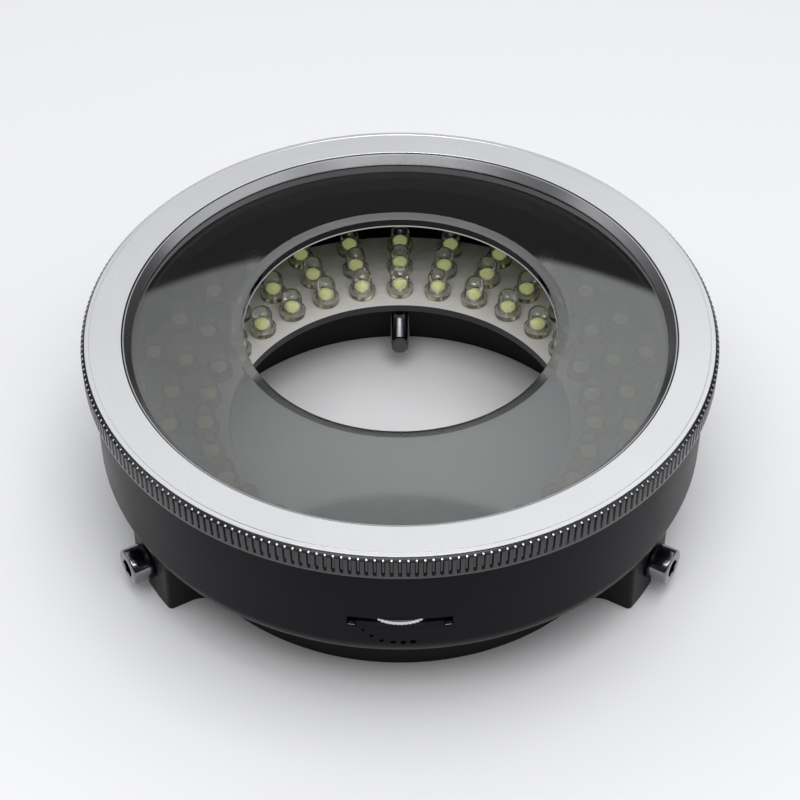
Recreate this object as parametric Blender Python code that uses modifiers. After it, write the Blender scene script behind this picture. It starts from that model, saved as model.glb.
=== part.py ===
"""Clamp-on LED ring light for a stereo microscope, with a turning polariser.

Metres, +Z up. The light lies on its mounting collar with the lit face up. The
origin is on the floor, on the ring's axis, and the dimmer faces -Y.
"""
import math

import bmesh
import bpy
from mathutils import Matrix, Vector

# Gaps between pieces
SEAT_GAP = 0.0001
RUNNING_GAP = 0.0002
CUT_OVERRUN = 0.002

# Facets round each kind of turned piece
RING_SEGMENTS = 54
WASHER_SEGMENTS = 36
SCREW_SEGMENTS = 16
SMALL_SEGMENTS = 12
LED_SEGMENTS = 6
SHARP_ANGLE = math.radians(28)

# Mounting collar, which slips over the microscope's lens barrel
COLLAR_BORE_SHARE = 0.7455
COLLAR_WALL = 0.0027
COLLAR_HEIGHT = 0.0111
BOSS_REACH_SHARE = 0.9527
BOSS_WIDTH = 0.0116
BOSS_FILLET_R = 0.0040
BOSS_CORNER = 0.0005
CLAMP_AZIMUTHS = {"back": 90.0, "left": 210.0, "right": 330.0}
CLAMP_AXIS_SHARE = 0.5

# Housing, a cup with a hole in its floor and a lip inside its mouth
HOUSING_R = 0.0444
HOUSING_WALL = 0.00165
HOUSING_FLOOR = 0.0012
HOUSING_HEIGHT = 0.0178
HOUSING_EDGE_R = 0.0038
HOUSING_EDGE_STEPS = 3
FLOOR_LEDGE = 0.00165
LIP_WIDTH = 0.0005
LIP_HEIGHT = 0.0011

# LED board and its three rings of clear round LEDs
BOARD_BORE_SHARE = 0.571
BOARD_THICKNESS = 0.0012
BOARD_EDGE_GAP = 0.00035
LED_INNER_MARGIN = 0.00355
LED_OUTER_MARGIN = 0.0028
LED_RING_NAMES = ("led_ring_inner", "led_ring_middle", "led_ring_outer")
LEDS_PER_RING = 30
LED_BULB_R = 0.0016
LED_HEIGHT = 0.0046
LED_SHOULDER_R = 0.00115
LED_CROWN_DROP = 0.0005
TRACK_WIDTH = 0.0010
TRACK_THICKNESS = 0.0001

# Turning ring: knurled grip, skirt, bezel, retainer and window
GLIDE_THICKNESS = 0.0002
GLIDE_GAP = 0.00005
GLIDE_WIDTH = 0.0014
GRIP_PROUD = 0.00114
GRIP_HEIGHT = 0.0034
GRIP_WALL = 0.00059
KNURL_COUNT = 264
KNURL_DEPTH = 0.00030
KNURL_WIDTH = 0.00056
KNURL_LAND = 0.0004
GROOVE_HEIGHT = 0.0008
GROOVE_DEPTH = 0.0006
GROOVE_LAND = 0.0006
WIRE_R = 0.0003
WIRE_GAP_DEG = 24.0
WIRE_POINTS = 25
BEZEL_PROUD = 0.0002
BEZEL_THICKNESS = 0.00145
BEZEL_WIDTH = 0.0051
BEZEL_BEVEL = 0.0009
BEZEL_BEVEL_DROP = 0.0004
RETAINER_GAP = 0.00025
RETAINER_WIDTH = 0.0011
RETAINER_SINK = 0.00015
RETAINER_LAND = 0.00015
WINDOW_MARGIN = 0.0006
WINDOW_THICKNESS = 0.0016
WINDOW_SEAT_DEPTH = 0.0016
WINDOW_SEAT_WIDTH = 0.0014
WINDOW_HOLE_SHARE = 0.5113
WINDOW_CROWN_SHARE = 5.225
WINDOW_EDGE_CHAMFER = 0.0002

# Clamp screws, M3 with a hexagon socket and a soft tip
SCREW_SHANK_R = 0.0015
SCREW_FIT = 0.0001
HEAD_CLEARANCE = 0.0002
HEAD_LENGTH = 0.0030
HEAD_R = 0.00275
HEAD_CHAMFER = 0.00025
SOCKET_ACROSS_FLATS = 0.0025
SOCKET_DEPTH = 0.0014
TIP_R = 0.00135
TIP_THICKNESS = 0.00075
TIP_STEM_R = 0.00075
TIP_STEM_LENGTH = 0.0016

# Dimmer: a thumb wheel that stands out of a slot in the front of the housing
WHEEL_R = 0.0065
WHEEL_THICKNESS = 0.0006
WHEEL_PROUD = 0.0005
WHEEL_CLEARANCE = 0.00085
WHEEL_TEETH = 32
WHEEL_TOOTH_DEPTH = 0.00016
WHEEL_TOOTH_WIDTH = 0.0006
STUB_R = 0.0010
STUB_LENGTH = 0.0016
SLOT_WIDTH = 0.0141
SLOT_HEADROOM = 0.0001
PLATE_WIDTH = 0.0117
PLATE_HEIGHT = 0.0009
PLATE_SINK = 0.0005
PLATE_DEPTH = 0.0013
POT_WIDTH = 0.0094
POT_DEPTH = 0.0080
POT_HEIGHT_SHARE = 0.39
POT_GAP = 0.0003
DIMMER_BOARD_WIDTH = 0.0180
DIMMER_BOARD_DEPTH = 0.0090
DIMMER_BOARD_THICKNESS_SHARE = 0.15
WALL_GAP = 0.00015

# Power inlet, a small round socket through the housing's wall
SOCKET_AZIMUTH = 30.0
SOCKET_R_SHARE = 0.383
SOCKET_LENGTH = 0.0086
SOCKET_BORE_SHARE = 0.61
SOCKET_BORE_DEPTH = 0.0070
SOCKET_SINK = 0.0003
SOCKET_FIT = 0.0001
SOCKET_HEADROOM = 0.0004
PIN_R = 0.00065
PIN_REACH = 0.0056

# Countersunk screws that hold the housing on the collar
BASE_SCREW_R = 0.0010
BASE_SCREW_HEAD_R = 0.0019
BASE_SCREW_HEAD_DEPTH = 0.0009
BASE_SCREW_END_SHARE = 0.268

# Pan-head screws that hold the LED board, up through the housing's floor
BOARD_SCREW_AZIMUTHS = {"front": 270.0, "left": 150.0, "right": 30.0}
BOARD_SCREW_R = 0.0008
BOARD_SCREW_HEAD_R = 0.0014
BOARD_SCREW_HEAD_HEIGHT = 0.0010
BOARD_SCREW_WALL_GAP = 0.0006
BOARD_SCREW_BITE_SHARE = 0.7
BOARD_SCREW_DRIVE_R = 0.0006
BOARD_SCREW_DRIVE_DEPTH = 0.0005

# Heights, worked out upwards from the floor
clamp_axis_z = COLLAR_HEIGHT * CLAMP_AXIS_SHARE
shank_top_z = clamp_axis_z + SCREW_SHANK_R
base_screw_end_z = shank_top_z + (COLLAR_HEIGHT - shank_top_z) * BASE_SCREW_END_SHARE
underside_z = COLLAR_HEIGHT + SEAT_GAP
floor_z = underside_z + HOUSING_FLOOR
housing_top_z = underside_z + HOUSING_HEIGHT
lip_z = housing_top_z - LIP_HEIGHT
board_z = floor_z + SEAT_GAP
board_top_z = board_z + BOARD_THICKNESS
led_z = board_top_z + SEAT_GAP
led_top_z = led_z + LED_HEIGHT
glide_z = housing_top_z + GLIDE_GAP
grip_z = glide_z + GLIDE_THICKNESS + GLIDE_GAP
grip_top_z = grip_z + GRIP_HEIGHT
groove_z = lip_z - GROOVE_HEIGHT
skirt_z = groove_z - GROOVE_LAND
bezel_top_z = grip_top_z + BEZEL_PROUD
bezel_z = bezel_top_z - BEZEL_THICKNESS
recess_z = bezel_z - SEAT_GAP
window_seat_z = recess_z - WINDOW_SEAT_DEPTH
window_edge_z = window_seat_z + SEAT_GAP
wheel_z = led_top_z + WHEEL_CLEARANCE
wheel_top_z = wheel_z + WHEEL_THICKNESS
dimmer_headroom = skirt_z - wheel_top_z
pot_height = dimmer_headroom * POT_HEIGHT_SHARE
dimmer_board_thickness = dimmer_headroom * DIMMER_BOARD_THICKNESS_SHARE
socket_r = (skirt_z - led_top_z) * SOCKET_R_SHARE
socket_z = skirt_z - SOCKET_HEADROOM - socket_r

# Radii, worked out inwards from the housing
collar_bore_r = HOUSING_R * COLLAR_BORE_SHARE
collar_r = collar_bore_r + COLLAR_WALL
boss_reach_r = HOUSING_R * BOSS_REACH_SHARE
housing_inner_r = HOUSING_R - HOUSING_WALL
board_bore_r = HOUSING_R * BOARD_BORE_SHARE
floor_bore_r = board_bore_r + FLOOR_LEDGE
board_r = housing_inner_r - BOARD_EDGE_GAP
led_inner_r = board_bore_r + LED_INNER_MARGIN
led_outer_r = board_r - LED_OUTER_MARGIN
lip_r = housing_inner_r - LIP_WIDTH
skirt_r = lip_r - RUNNING_GAP
grip_r = HOUSING_R + GRIP_PROUD
recess_r = grip_r - GRIP_WALL
bezel_r = recess_r - SEAT_GAP
bezel_inner_r = bezel_r - BEZEL_WIDTH
retainer_r = bezel_inner_r - RETAINER_GAP
retainer_inner_r = retainer_r - RETAINER_WIDTH
window_r = retainer_inner_r + WINDOW_MARGIN
window_wall_r = window_r + RUNNING_GAP
carrier_r = window_r - WINDOW_SEAT_WIDTH
window_hole_r = HOUSING_R * WINDOW_HOLE_SHARE
window_crown_r = HOUSING_R * WINDOW_CROWN_SHARE
wheel_y = -(HOUSING_R + WHEEL_PROUD - WHEEL_R)

PART = "microscope_ring_light"


def clear_scene():
    for obj in list(bpy.data.objects):
        bpy.data.objects.remove(obj, do_unlink=True)
    for name in (PART, "cutters"):
        old = bpy.data.collections.get(name)
        if old:
            bpy.data.collections.remove(old)


def new_collection(name):
    collection = bpy.data.collections.new(name)
    bpy.context.scene.collection.children.link(collection)
    return collection


def material(name, colour, roughness, metallic=0.0, alpha=1.0):
    """A Principled material with one finish."""
    made = bpy.data.materials.new(name)
    made.use_nodes = True
    shader = made.node_tree.nodes["Principled BSDF"]
    shader.inputs["Base Color"].default_value = (*colour, 1.0)
    shader.inputs["Roughness"].default_value = roughness
    shader.inputs["Metallic"].default_value = metallic
    shader.inputs["Alpha"].default_value = alpha
    made.diffuse_color = (*colour, alpha)
    return made


clear_scene()
parts = new_collection(PART)
cutters = new_collection("cutters")

FINISHES = {
    "black_anodised": material("black_anodised", (0.020, 0.021, 0.024), 0.42, 0.6),
    "black_collar": material("black_collar", (0.014, 0.014, 0.016), 0.50, 0.6),
    "silver_face": material("silver_face", (0.78, 0.78, 0.79), 0.30, 0.9),
    "polished_rim": material("polished_rim", (0.70, 0.70, 0.71), 0.16, 1.0),
    "smoked_glass": material("smoked_glass", (0.16, 0.16, 0.16), 0.06, 0.0, 0.45),
    "white_board": material("white_board", (0.62, 0.61, 0.59), 0.55),
    "clear_led": material("clear_led", (0.78, 0.80, 0.62), 0.12, 0.0, 0.6),
    "steel": material("steel", (0.46, 0.46, 0.48), 0.25, 1.0),
    "soft_tip": material("soft_tip", (0.10, 0.10, 0.10), 0.60),
    "glide_plastic": material("glide_plastic", (0.03, 0.03, 0.03), 0.70),
    "spring_wire": material("spring_wire", (0.35, 0.35, 0.36), 0.35, 1.0),
    "green_board": material("green_board", (0.03, 0.16, 0.07), 0.50),
    "black_plastic": material("black_plastic", (0.018, 0.018, 0.020), 0.45),
    "dimmer_metal": material("dimmer_metal", (0.62, 0.62, 0.64), 0.28, 1.0),
}


def place(obj, collection, parent=None, location=(0.0, 0.0, 0.0)):
    collection.objects.link(obj)
    obj.parent = parent
    obj.location = location
    return obj


def as_cutter(obj):
    obj.hide_render = True
    obj.display_type = "WIRE"
    return obj


def mesh_object(name, bm, finish=None):
    """A new object that takes over the bmesh, without a collection yet."""
    mesh = bpy.data.meshes.new(name)
    bm.to_mesh(mesh)
    bm.free()
    if finish:
        mesh.materials.append(FINISHES[finish])
    return bpy.data.objects.new(name, mesh)


def settle(obj):
    """Turns the object's modifiers, or its curve, into a plain closed mesh."""
    bpy.context.view_layer.update()
    depsgraph = bpy.context.evaluated_depsgraph_get()
    mesh = bpy.data.meshes.new_from_object(obj.evaluated_get(depsgraph))
    bm = bmesh.new()
    bm.from_mesh(mesh)
    bmesh.ops.remove_doubles(bm, verts=bm.verts, dist=SEAT_GAP / 10)
    bm.to_mesh(mesh)
    bm.free()
    return mesh


def shade(obj):
    obj.data.shade_smooth()
    obj.data.set_sharp_from_angle(angle=SHARP_ANGLE)
    return obj


def turned(name, profile, segments, finish=None, closed=True, parent=None, location=(0, 0, 0)):
    """A solid of revolution about the parent's Z.

    The profile is a list of (radius, height). It runs down the outer side and
    back up the inner one, as a loop, or from axis to axis when it isn't closed.
    """
    bm = bmesh.new()
    verts = [bm.verts.new((radius, 0.0, height)) for radius, height in profile]
    ends = verts[1:] + verts[:1] if closed else verts[1:]
    for start, end in zip(verts, ends):
        bm.edges.new((start, end))
    obj = place(mesh_object(name, bm, finish), parts if finish else cutters, parent, location)
    screw = obj.modifiers.new("turn", "SCREW")
    screw.axis = "Z"
    screw.angle = math.tau
    screw.steps = segments
    screw.render_steps = segments
    screw.use_merge_vertices = True
    screw.merge_threshold = SEAT_GAP / 10
    mesh = settle(obj)
    obj.modifiers.clear()
    obj.data = mesh
    return shade(obj) if finish else as_cutter(obj)


def box(name, size, centre, finish=None):
    bm = bmesh.new()
    bmesh.ops.create_cube(bm, size=1.0, matrix=Matrix.Diagonal((*size, 1.0)))
    obj = place(mesh_object(name, bm, finish), parts if finish else cutters, None, centre)
    return obj if finish else as_cutter(obj)


def cut(obj, cutter, operation="DIFFERENCE"):
    boolean = obj.modifiers.new(cutter.name, "BOOLEAN")
    boolean.operation = operation
    boolean.solver = "EXACT"
    boolean.object = cutter
    return obj


def around(obj, count):
    """Repeats the object round the world's Z by an Array, as separate bodies."""
    pitch = math.tau / count
    bpy.context.view_layer.update()
    guide = place(bpy.data.objects.new(obj.name + "_pitch", None), cutters)
    guide.matrix_world = Matrix.Rotation(pitch, 4, "Z") @ obj.matrix_world
    array = obj.modifiers.new("around", "ARRAY")
    array.use_relative_offset = False
    array.use_object_offset = True
    array.offset_object = guide
    array.count = count
    return obj


def flat_outline(name, outlines, thickness, finish):
    """A flat plate from closed outlines, the first solid and the others holes."""
    curve = bpy.data.curves.new(name, "CURVE")
    curve.dimensions = "2D"
    curve.fill_mode = "BOTH"
    curve.extrude = thickness / 2
    for outline in outlines:
        spline = curve.splines.new("POLY")
        spline.points.add(len(outline) - 1)
        for point, (x, y) in zip(spline.points, outline):
            point.co = (x, y, 0.0, 1.0)
        spline.use_cyclic_u = True
    drawn = place(bpy.data.objects.new(name, curve), parts)
    mesh = settle(drawn)
    bpy.data.objects.remove(drawn, do_unlink=True)
    obj = place(bpy.data.objects.new(name, mesh), parts)
    mesh.materials.clear()
    mesh.materials.append(FINISHES[finish])
    return obj


def tube(name, points, radius, finish, parent=None):
    """A round wire along the points, closed at both ends."""
    curve = bpy.data.curves.new(name, "CURVE")
    curve.dimensions = "3D"
    curve.bevel_depth = radius
    curve.bevel_resolution = 1
    curve.use_fill_caps = True
    spline = curve.splines.new("POLY")
    spline.points.add(len(points) - 1)
    for point, co in zip(spline.points, points):
        point.co = (*co, 1.0)
    drawn = place(bpy.data.objects.new(name, curve), parts, parent)
    mesh = settle(drawn)
    bpy.data.objects.remove(drawn, do_unlink=True)
    mesh.materials.clear()
    mesh.materials.append(FINISHES[finish])
    return place(bpy.data.objects.new(name, mesh), parts, parent)


def polar(radius, degrees):
    angle = math.radians(degrees)
    return Vector((radius * math.cos(angle), radius * math.sin(angle)))


def arc(centre, radius, start_deg, end_deg, steps):
    turn = (end_deg - start_deg) / steps
    return [centre + polar(radius, start_deg + turn * step) for step in range(steps + 1)]


def axis_empty(name, location, rotation=(0.0, 0.0, 0.0)):
    """An empty on a joint's axis, the parent of what turns or slides there."""
    empty = place(bpy.data.objects.new(name, None), parts, None, location)
    empty.rotation_euler = rotation
    empty.empty_display_size = HEAD_R
    bpy.context.view_layer.update()
    return empty


def knurl_cutter(name, count, radius, depth, width, low, high, parent=None):
    """Diamond bars round a rim, each of which cuts one V groove."""
    half_turn = Matrix.Rotation(math.pi / 4, 4, "Z")
    side = Vector((depth, width / 2, high - low)) * math.sqrt(2)
    shape = Matrix.Diagonal((side.x, side.y, high - low, 1.0)) @ half_turn
    seat = Matrix.Translation((radius, 0.0, (low + high) / 2)) @ shape
    bm = bmesh.new()
    for index in range(count):
        turn = Matrix.Rotation(math.tau * index / count, 4, "Z")
        bmesh.ops.create_cube(bm, size=1.0, matrix=turn @ seat)
    return as_cutter(place(mesh_object(name, bm), cutters, parent))


def boss_side():
    """One boss from its middle to the plain wall, about the +X direction."""
    half = BOSS_WIDTH / 2
    fillet_across = half + BOSS_FILLET_R
    fillet_ring = collar_r + BOSS_FILLET_R
    fillet_along = math.sqrt(fillet_ring ** 2 - fillet_across ** 2)
    fillet_centre = Vector((fillet_along, fillet_across))
    toward_axis = math.degrees(math.atan2(-fillet_across, -fillet_along)) % 360
    corner_along = math.sqrt(boss_reach_r ** 2 - half ** 2)
    front_deg = math.degrees(math.asin((half - BOSS_CORNER) / boss_reach_r))
    front = arc(Vector((0.0, 0.0)), boss_reach_r, 0.0, front_deg, 2)
    corner = [Vector((corner_along - BOSS_CORNER, half))]
    fillet = arc(fillet_centre, BOSS_FILLET_R, 270.0, toward_axis, 4)
    wall_deg = math.degrees(math.atan2(fillet_across, fillet_along))
    return front + corner + fillet, wall_deg


def collar_outline():
    """The collar's outer outline, with a filleted boss for each clamp screw."""
    side, wall_deg = boss_side()
    pitch = 360.0 / len(CLAMP_AZIMUTHS)
    wall = arc(Vector((0.0, 0.0)), collar_r, wall_deg, pitch - wall_deg, 10)
    lower_side = [Vector((point.x, -point.y)) for point in reversed(side[1:])]
    outline = []
    for azimuth in CLAMP_AZIMUTHS.values():
        turn = Matrix.Rotation(math.radians(azimuth), 2)
        for point in lower_side + side + wall[1:-1]:
            outline.append(turn @ point)
    return outline


def radial_frame(name, azimuth, height):
    """An empty on the ring's axis whose Z runs outwards at the azimuth."""
    rotation = (math.pi / 2, 0.0, math.radians(azimuth) + math.pi / 2)
    return axis_empty(name, (0.0, 0.0, height), rotation)


def window_top(radius):
    """Height of the window's crowned upper face at a radius."""
    edge_top = window_edge_z + WINDOW_THICKNESS
    return edge_top + (window_r ** 2 - radius ** 2) / (2 * window_crown_r)


def make_housing():
    edge_centre = Vector((HOUSING_R - HOUSING_EDGE_R, underside_z + HOUSING_EDGE_R))
    edge = arc(edge_centre, HOUSING_EDGE_R, 0.0, -90.0, HOUSING_EDGE_STEPS)
    profile = [(HOUSING_R, housing_top_z)]
    profile += [tuple(point) for point in edge]
    profile += [
        (floor_bore_r, underside_z),
        (floor_bore_r, floor_z),
        (housing_inner_r, floor_z),
        (housing_inner_r, lip_z),
        (lip_r, lip_z),
        (lip_r, housing_top_z),
    ]
    return turned("housing_shell", profile, RING_SEGMENTS, "black_anodised")


def make_collar():
    bore = arc(Vector((0.0, 0.0)), collar_bore_r, 0.0, 360.0, RING_SEGMENTS)[:-1]
    collar = flat_outline("mount_collar", [collar_outline(), bore], COLLAR_HEIGHT, "black_collar")
    collar.location = (0.0, 0.0, COLLAR_HEIGHT / 2)
    return collar


def make_led_board():
    profile = [
        (board_r, board_top_z),
        (board_r, board_z),
        (board_bore_r, board_z),
        (board_bore_r, board_top_z),
    ]
    return turned("led_board", profile, RING_SEGMENTS, "white_board")


def make_leds():
    """Three rings of LEDs on common radial lines, one line over the back screw.

    Each ring is one body, its LEDs standing on the track that feeds them.
    """
    crown_z = LED_HEIGHT - LED_CROWN_DROP
    side_z = LED_HEIGHT - LED_BULB_R
    profile = [
        (0.0, LED_HEIGHT),
        (LED_SHOULDER_R, crown_z),
        (LED_BULB_R, side_z),
        (LED_BULB_R, 0.0),
        (0.0, 0.0),
    ]
    step = (led_outer_r - led_inner_r) / (len(LED_RING_NAMES) - 1)
    for index, name in enumerate(LED_RING_NAMES):
        radius = led_inner_r + step * index
        seat = (0.0, radius, led_z)
        ring = turned(name, profile, LED_SEGMENTS, "clear_led", closed=False, location=seat)
        around(ring, LEDS_PER_RING)
        outer_r = radius + TRACK_WIDTH / 2
        inner_r = radius - TRACK_WIDTH / 2
        top_z = led_z + TRACK_THICKNESS
        band = [(outer_r, top_z), (outer_r, led_z), (inner_r, led_z), (inner_r, top_z)]
        cut(ring, turned(name + "_track", band, LEDS_PER_RING), "UNION")


def make_glide_ring():
    inner_r = skirt_r + RUNNING_GAP * 2
    outer_r = inner_r + GLIDE_WIDTH
    top_z = glide_z + GLIDE_THICKNESS
    profile = [(outer_r, top_z), (outer_r, glide_z), (inner_r, glide_z), (inner_r, top_z)]
    turned("glide_ring", profile, WASHER_SEGMENTS, "glide_plastic")


def make_knurled_ring(axis):
    groove_r = skirt_r - GROOVE_DEPTH
    profile = [
        (grip_r, grip_top_z),
        (grip_r, grip_z),
        (skirt_r, grip_z),
        (skirt_r, lip_z),
        (groove_r, lip_z),
        (groove_r, groove_z),
        (skirt_r, groove_z),
        (skirt_r, skirt_z),
        (carrier_r, skirt_z),
        (carrier_r, window_seat_z),
        (window_wall_r, window_seat_z),
        (window_wall_r, recess_z),
        (recess_r, recess_z),
        (recess_r, grip_top_z),
    ]
    ring = turned("knurled_ring", profile, RING_SEGMENTS, "black_anodised", parent=axis)
    bars = knurl_cutter(
        "knurl_bars",
        KNURL_COUNT,
        grip_r,
        KNURL_DEPTH,
        KNURL_WIDTH,
        grip_z + KNURL_LAND,
        grip_top_z + CUT_OVERRUN,
        axis,
    )
    cut(ring, bars)


def make_snap_ring(axis):
    """Spring wire that holds the turning ring under the housing's lip."""
    wire_r = skirt_r + WIRE_R / 2
    wire_z = lip_z - SEAT_GAP - WIRE_R
    start = 90.0 + WIRE_GAP_DEG / 2
    run = arc(Vector((0.0, 0.0)), wire_r, start, start + 360.0 - WIRE_GAP_DEG, WIRE_POINTS - 1)
    points = [(point.x, point.y, wire_z) for point in run]
    tube("snap_ring", points, WIRE_R, "spring_wire", axis)


def make_bezel(axis):
    profile = [
        (bezel_r - BEZEL_BEVEL, bezel_top_z),
        (bezel_r, bezel_top_z - BEZEL_BEVEL_DROP),
        (bezel_r, bezel_z),
        (bezel_inner_r, bezel_z),
        (bezel_inner_r, bezel_top_z),
    ]
    turned("bezel_ring", profile, RING_SEGMENTS, "silver_face", parent=axis)


def make_retainer(axis):
    top_z = bezel_top_z - RETAINER_SINK
    low_z = window_top(retainer_inner_r) + SEAT_GAP
    profile = [
        (retainer_r, top_z),
        (retainer_r, low_z),
        (retainer_inner_r, low_z),
        (retainer_inner_r, low_z + RETAINER_LAND),
        (retainer_r - RETAINER_LAND, top_z),
    ]
    turned("window_retainer", profile, RING_SEGMENTS, "polished_rim", parent=axis)


def make_window(axis):
    mid_r = (window_hole_r + window_r) / 2
    lip_in_r = window_hole_r + WINDOW_EDGE_CHAMFER
    rim_z = window_top(lip_in_r) - WINDOW_EDGE_CHAMFER
    profile = [
        (lip_in_r, window_top(lip_in_r)),
        (mid_r, window_top(mid_r)),
        (window_r, window_top(window_r)),
        (window_r, window_edge_z),
        (window_hole_r, window_top(window_hole_r) - WINDOW_THICKNESS),
        (window_hole_r, rim_z),
    ]
    turned("polariser_window", profile, RING_SEGMENTS, "smoked_glass", parent=axis)


def clamp_stations():
    """Distances from the ring's axis to the ends of a clamp screw's steps."""
    head_low = boss_reach_r + HEAD_CLEARANCE
    head_high = head_low + HEAD_LENGTH
    tip_high = board_bore_r - SEAT_GAP
    return head_low, head_high, tip_high, tip_high - TIP_THICKNESS


def make_clamp(side, azimuth, collar):
    """One clamp screw with its soft tip, and its bore through the boss."""
    head_low, head_high, tip_high, tip_low = clamp_stations()
    bore_r = TIP_STEM_R + SCREW_FIT
    bore_end = board_bore_r + TIP_STEM_LENGTH + SCREW_FIT
    axis = radial_frame("clamp_axis_" + side, azimuth, clamp_axis_z)
    screw_profile = [
        (0.0, head_high),
        (HEAD_R - HEAD_CHAMFER, head_high),
        (HEAD_R, head_high - HEAD_CHAMFER),
        (HEAD_R, head_low),
        (SCREW_SHANK_R, head_low),
        (SCREW_SHANK_R, board_bore_r),
        (bore_r, board_bore_r),
        (bore_r, bore_end),
        (0.0, bore_end),
    ]
    screw = turned(
        "clamp_screw_" + side, screw_profile, SCREW_SEGMENTS, "steel", closed=False, parent=axis
    )
    bm = bmesh.new()
    socket_r = SOCKET_ACROSS_FLATS / math.sqrt(3)
    depth = SOCKET_DEPTH + CUT_OVERRUN
    bmesh.ops.create_cone(
        bm, cap_ends=True, segments=6, radius1=socket_r, radius2=socket_r, depth=depth
    )
    socket = as_cutter(place(mesh_object("socket_" + side, bm), cutters, axis))
    socket.location = (0.0, 0.0, head_high - SOCKET_DEPTH + depth / 2)
    cut(screw, socket)
    tip_profile = [
        (0.0, tip_high + TIP_STEM_LENGTH),
        (TIP_STEM_R, tip_high + TIP_STEM_LENGTH),
        (TIP_STEM_R, tip_high),
        (TIP_R, tip_high),
        (TIP_R, tip_low),
        (0.0, tip_low),
    ]
    turned("clamp_tip_" + side, tip_profile, SMALL_SEGMENTS, "soft_tip", closed=False, parent=axis)
    hole_r = SCREW_SHANK_R + SCREW_FIT
    hole_profile = [
        (0.0, boss_reach_r + CUT_OVERRUN),
        (hole_r, boss_reach_r + CUT_OVERRUN),
        (hole_r, collar_bore_r - CUT_OVERRUN),
        (0.0, collar_bore_r - CUT_OVERRUN),
    ]
    hole = turned("clamp_hole_" + side, hole_profile, SCREW_SEGMENTS, closed=False, parent=axis)
    cut(collar, hole)


def make_base_screw(side, azimuth, housing, collar):
    """A countersunk screw from the housing's floor down into a boss."""
    top = floor_z - SEAT_GAP
    neck = top - BASE_SCREW_HEAD_DEPTH
    end = base_screw_end_z
    spot = polar((collar_bore_r + boss_reach_r) / 2, azimuth)
    seat = (spot.x, spot.y, 0.0)
    profile = [
        (0.0, top),
        (BASE_SCREW_HEAD_R, top),
        (BASE_SCREW_R, neck),
        (BASE_SCREW_R, end),
        (0.0, end),
    ]
    name = "base_screw_" + side
    turned(name, profile, SMALL_SEGMENTS, "steel", closed=False, location=seat)
    wide = BASE_SCREW_HEAD_R + SCREW_FIT
    narrow = BASE_SCREW_R + SCREW_FIT
    pocket = [
        (0.0, floor_z + CUT_OVERRUN),
        (wide, floor_z + CUT_OVERRUN),
        (wide, top),
        (narrow, neck),
        (narrow, end - SEAT_GAP),
        (0.0, end - SEAT_GAP),
    ]
    hole = turned(name + "_hole", pocket, SMALL_SEGMENTS, closed=False, location=seat)
    cut(housing, hole)
    cut(collar, hole)


def make_board_screw(side, azimuth, housing, board):
    """A pan-head screw up through the housing's floor into the LED board."""
    high = underside_z - SEAT_GAP
    low = high - BOARD_SCREW_HEAD_HEIGHT
    end = board_z + BOARD_THICKNESS * BOARD_SCREW_BITE_SHARE
    spot = polar(collar_r + BOARD_SCREW_WALL_GAP + BOARD_SCREW_HEAD_R, azimuth)
    seat = (spot.x, spot.y, 0.0)
    profile = [
        (0.0, end),
        (BOARD_SCREW_R, end),
        (BOARD_SCREW_R, high),
        (BOARD_SCREW_HEAD_R, high),
        (BOARD_SCREW_HEAD_R, low),
        (BOARD_SCREW_DRIVE_R, low),
        (0.0, low + BOARD_SCREW_DRIVE_DEPTH),
    ]
    name = "board_screw_" + side
    turned(name, profile, SMALL_SEGMENTS, "steel", closed=False, location=seat)
    hole_r = BOARD_SCREW_R + SCREW_FIT
    shaft = [
        (0.0, end + SEAT_GAP),
        (hole_r, end + SEAT_GAP),
        (hole_r, underside_z - CUT_OVERRUN),
        (0.0, underside_z - CUT_OVERRUN),
    ]
    hole = turned(name + "_hole", shaft, SMALL_SEGMENTS, closed=False, location=seat)
    cut(housing, hole)
    cut(board, hole)


def make_wheel():
    """The dimmer's toothed thumb wheel, on the stub that turns in the potentiometer."""
    axis = axis_empty("dimmer_axis", (0.0, wheel_y, wheel_z))
    stub_top = WHEEL_THICKNESS + STUB_LENGTH
    profile = [
        (0.0, stub_top),
        (STUB_R, stub_top),
        (STUB_R, WHEEL_THICKNESS),
        (WHEEL_R, WHEEL_THICKNESS),
        (WHEEL_R, 0.0),
        (0.0, 0.0),
    ]
    wheel = turned(
        "dimmer_wheel", profile, WASHER_SEGMENTS, "dimmer_metal", closed=False, parent=axis
    )
    teeth = knurl_cutter(
        "dimmer_teeth",
        WHEEL_TEETH,
        WHEEL_R,
        WHEEL_TOOTH_DEPTH,
        WHEEL_TOOTH_WIDTH,
        -CUT_OVERRUN,
        WHEEL_THICKNESS + CUT_OVERRUN,
        axis,
    )
    cut(wheel, teeth)
    return axis


def make_slot(housing):
    """The slot in the front of the housing, with the plate that fills its lower part."""
    plate_top = wheel_z - SEAT_GAP
    plate_low = plate_top - PLATE_HEIGHT
    plate_y = -(HOUSING_R - PLATE_SINK - PLATE_DEPTH / 2)
    plate_size = (PLATE_WIDTH, PLATE_DEPTH, PLATE_HEIGHT)
    box("dimmer_plate", plate_size, (0.0, plate_y, (plate_top + plate_low) / 2), "black_plastic")
    slot_low = plate_low - SEAT_GAP
    slot_high = wheel_top_z + SLOT_HEADROOM
    slot_deep = (HOUSING_WALL + CUT_OVERRUN) * 2
    slot_size = (SLOT_WIDTH, slot_deep, slot_high - slot_low)
    slot_y = -(housing_inner_r + HOUSING_WALL / 2)
    cut(housing, box("dimmer_slot", slot_size, (0.0, slot_y, (slot_low + slot_high) / 2)))


def against_wall(width, depth):
    """Where the middle of a box lies, so that its front corners meet the front wall."""
    reach = math.sqrt((housing_inner_r - WALL_GAP) ** 2 - (width / 2) ** 2)
    return -(reach - WALL_GAP - depth / 2)


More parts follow.
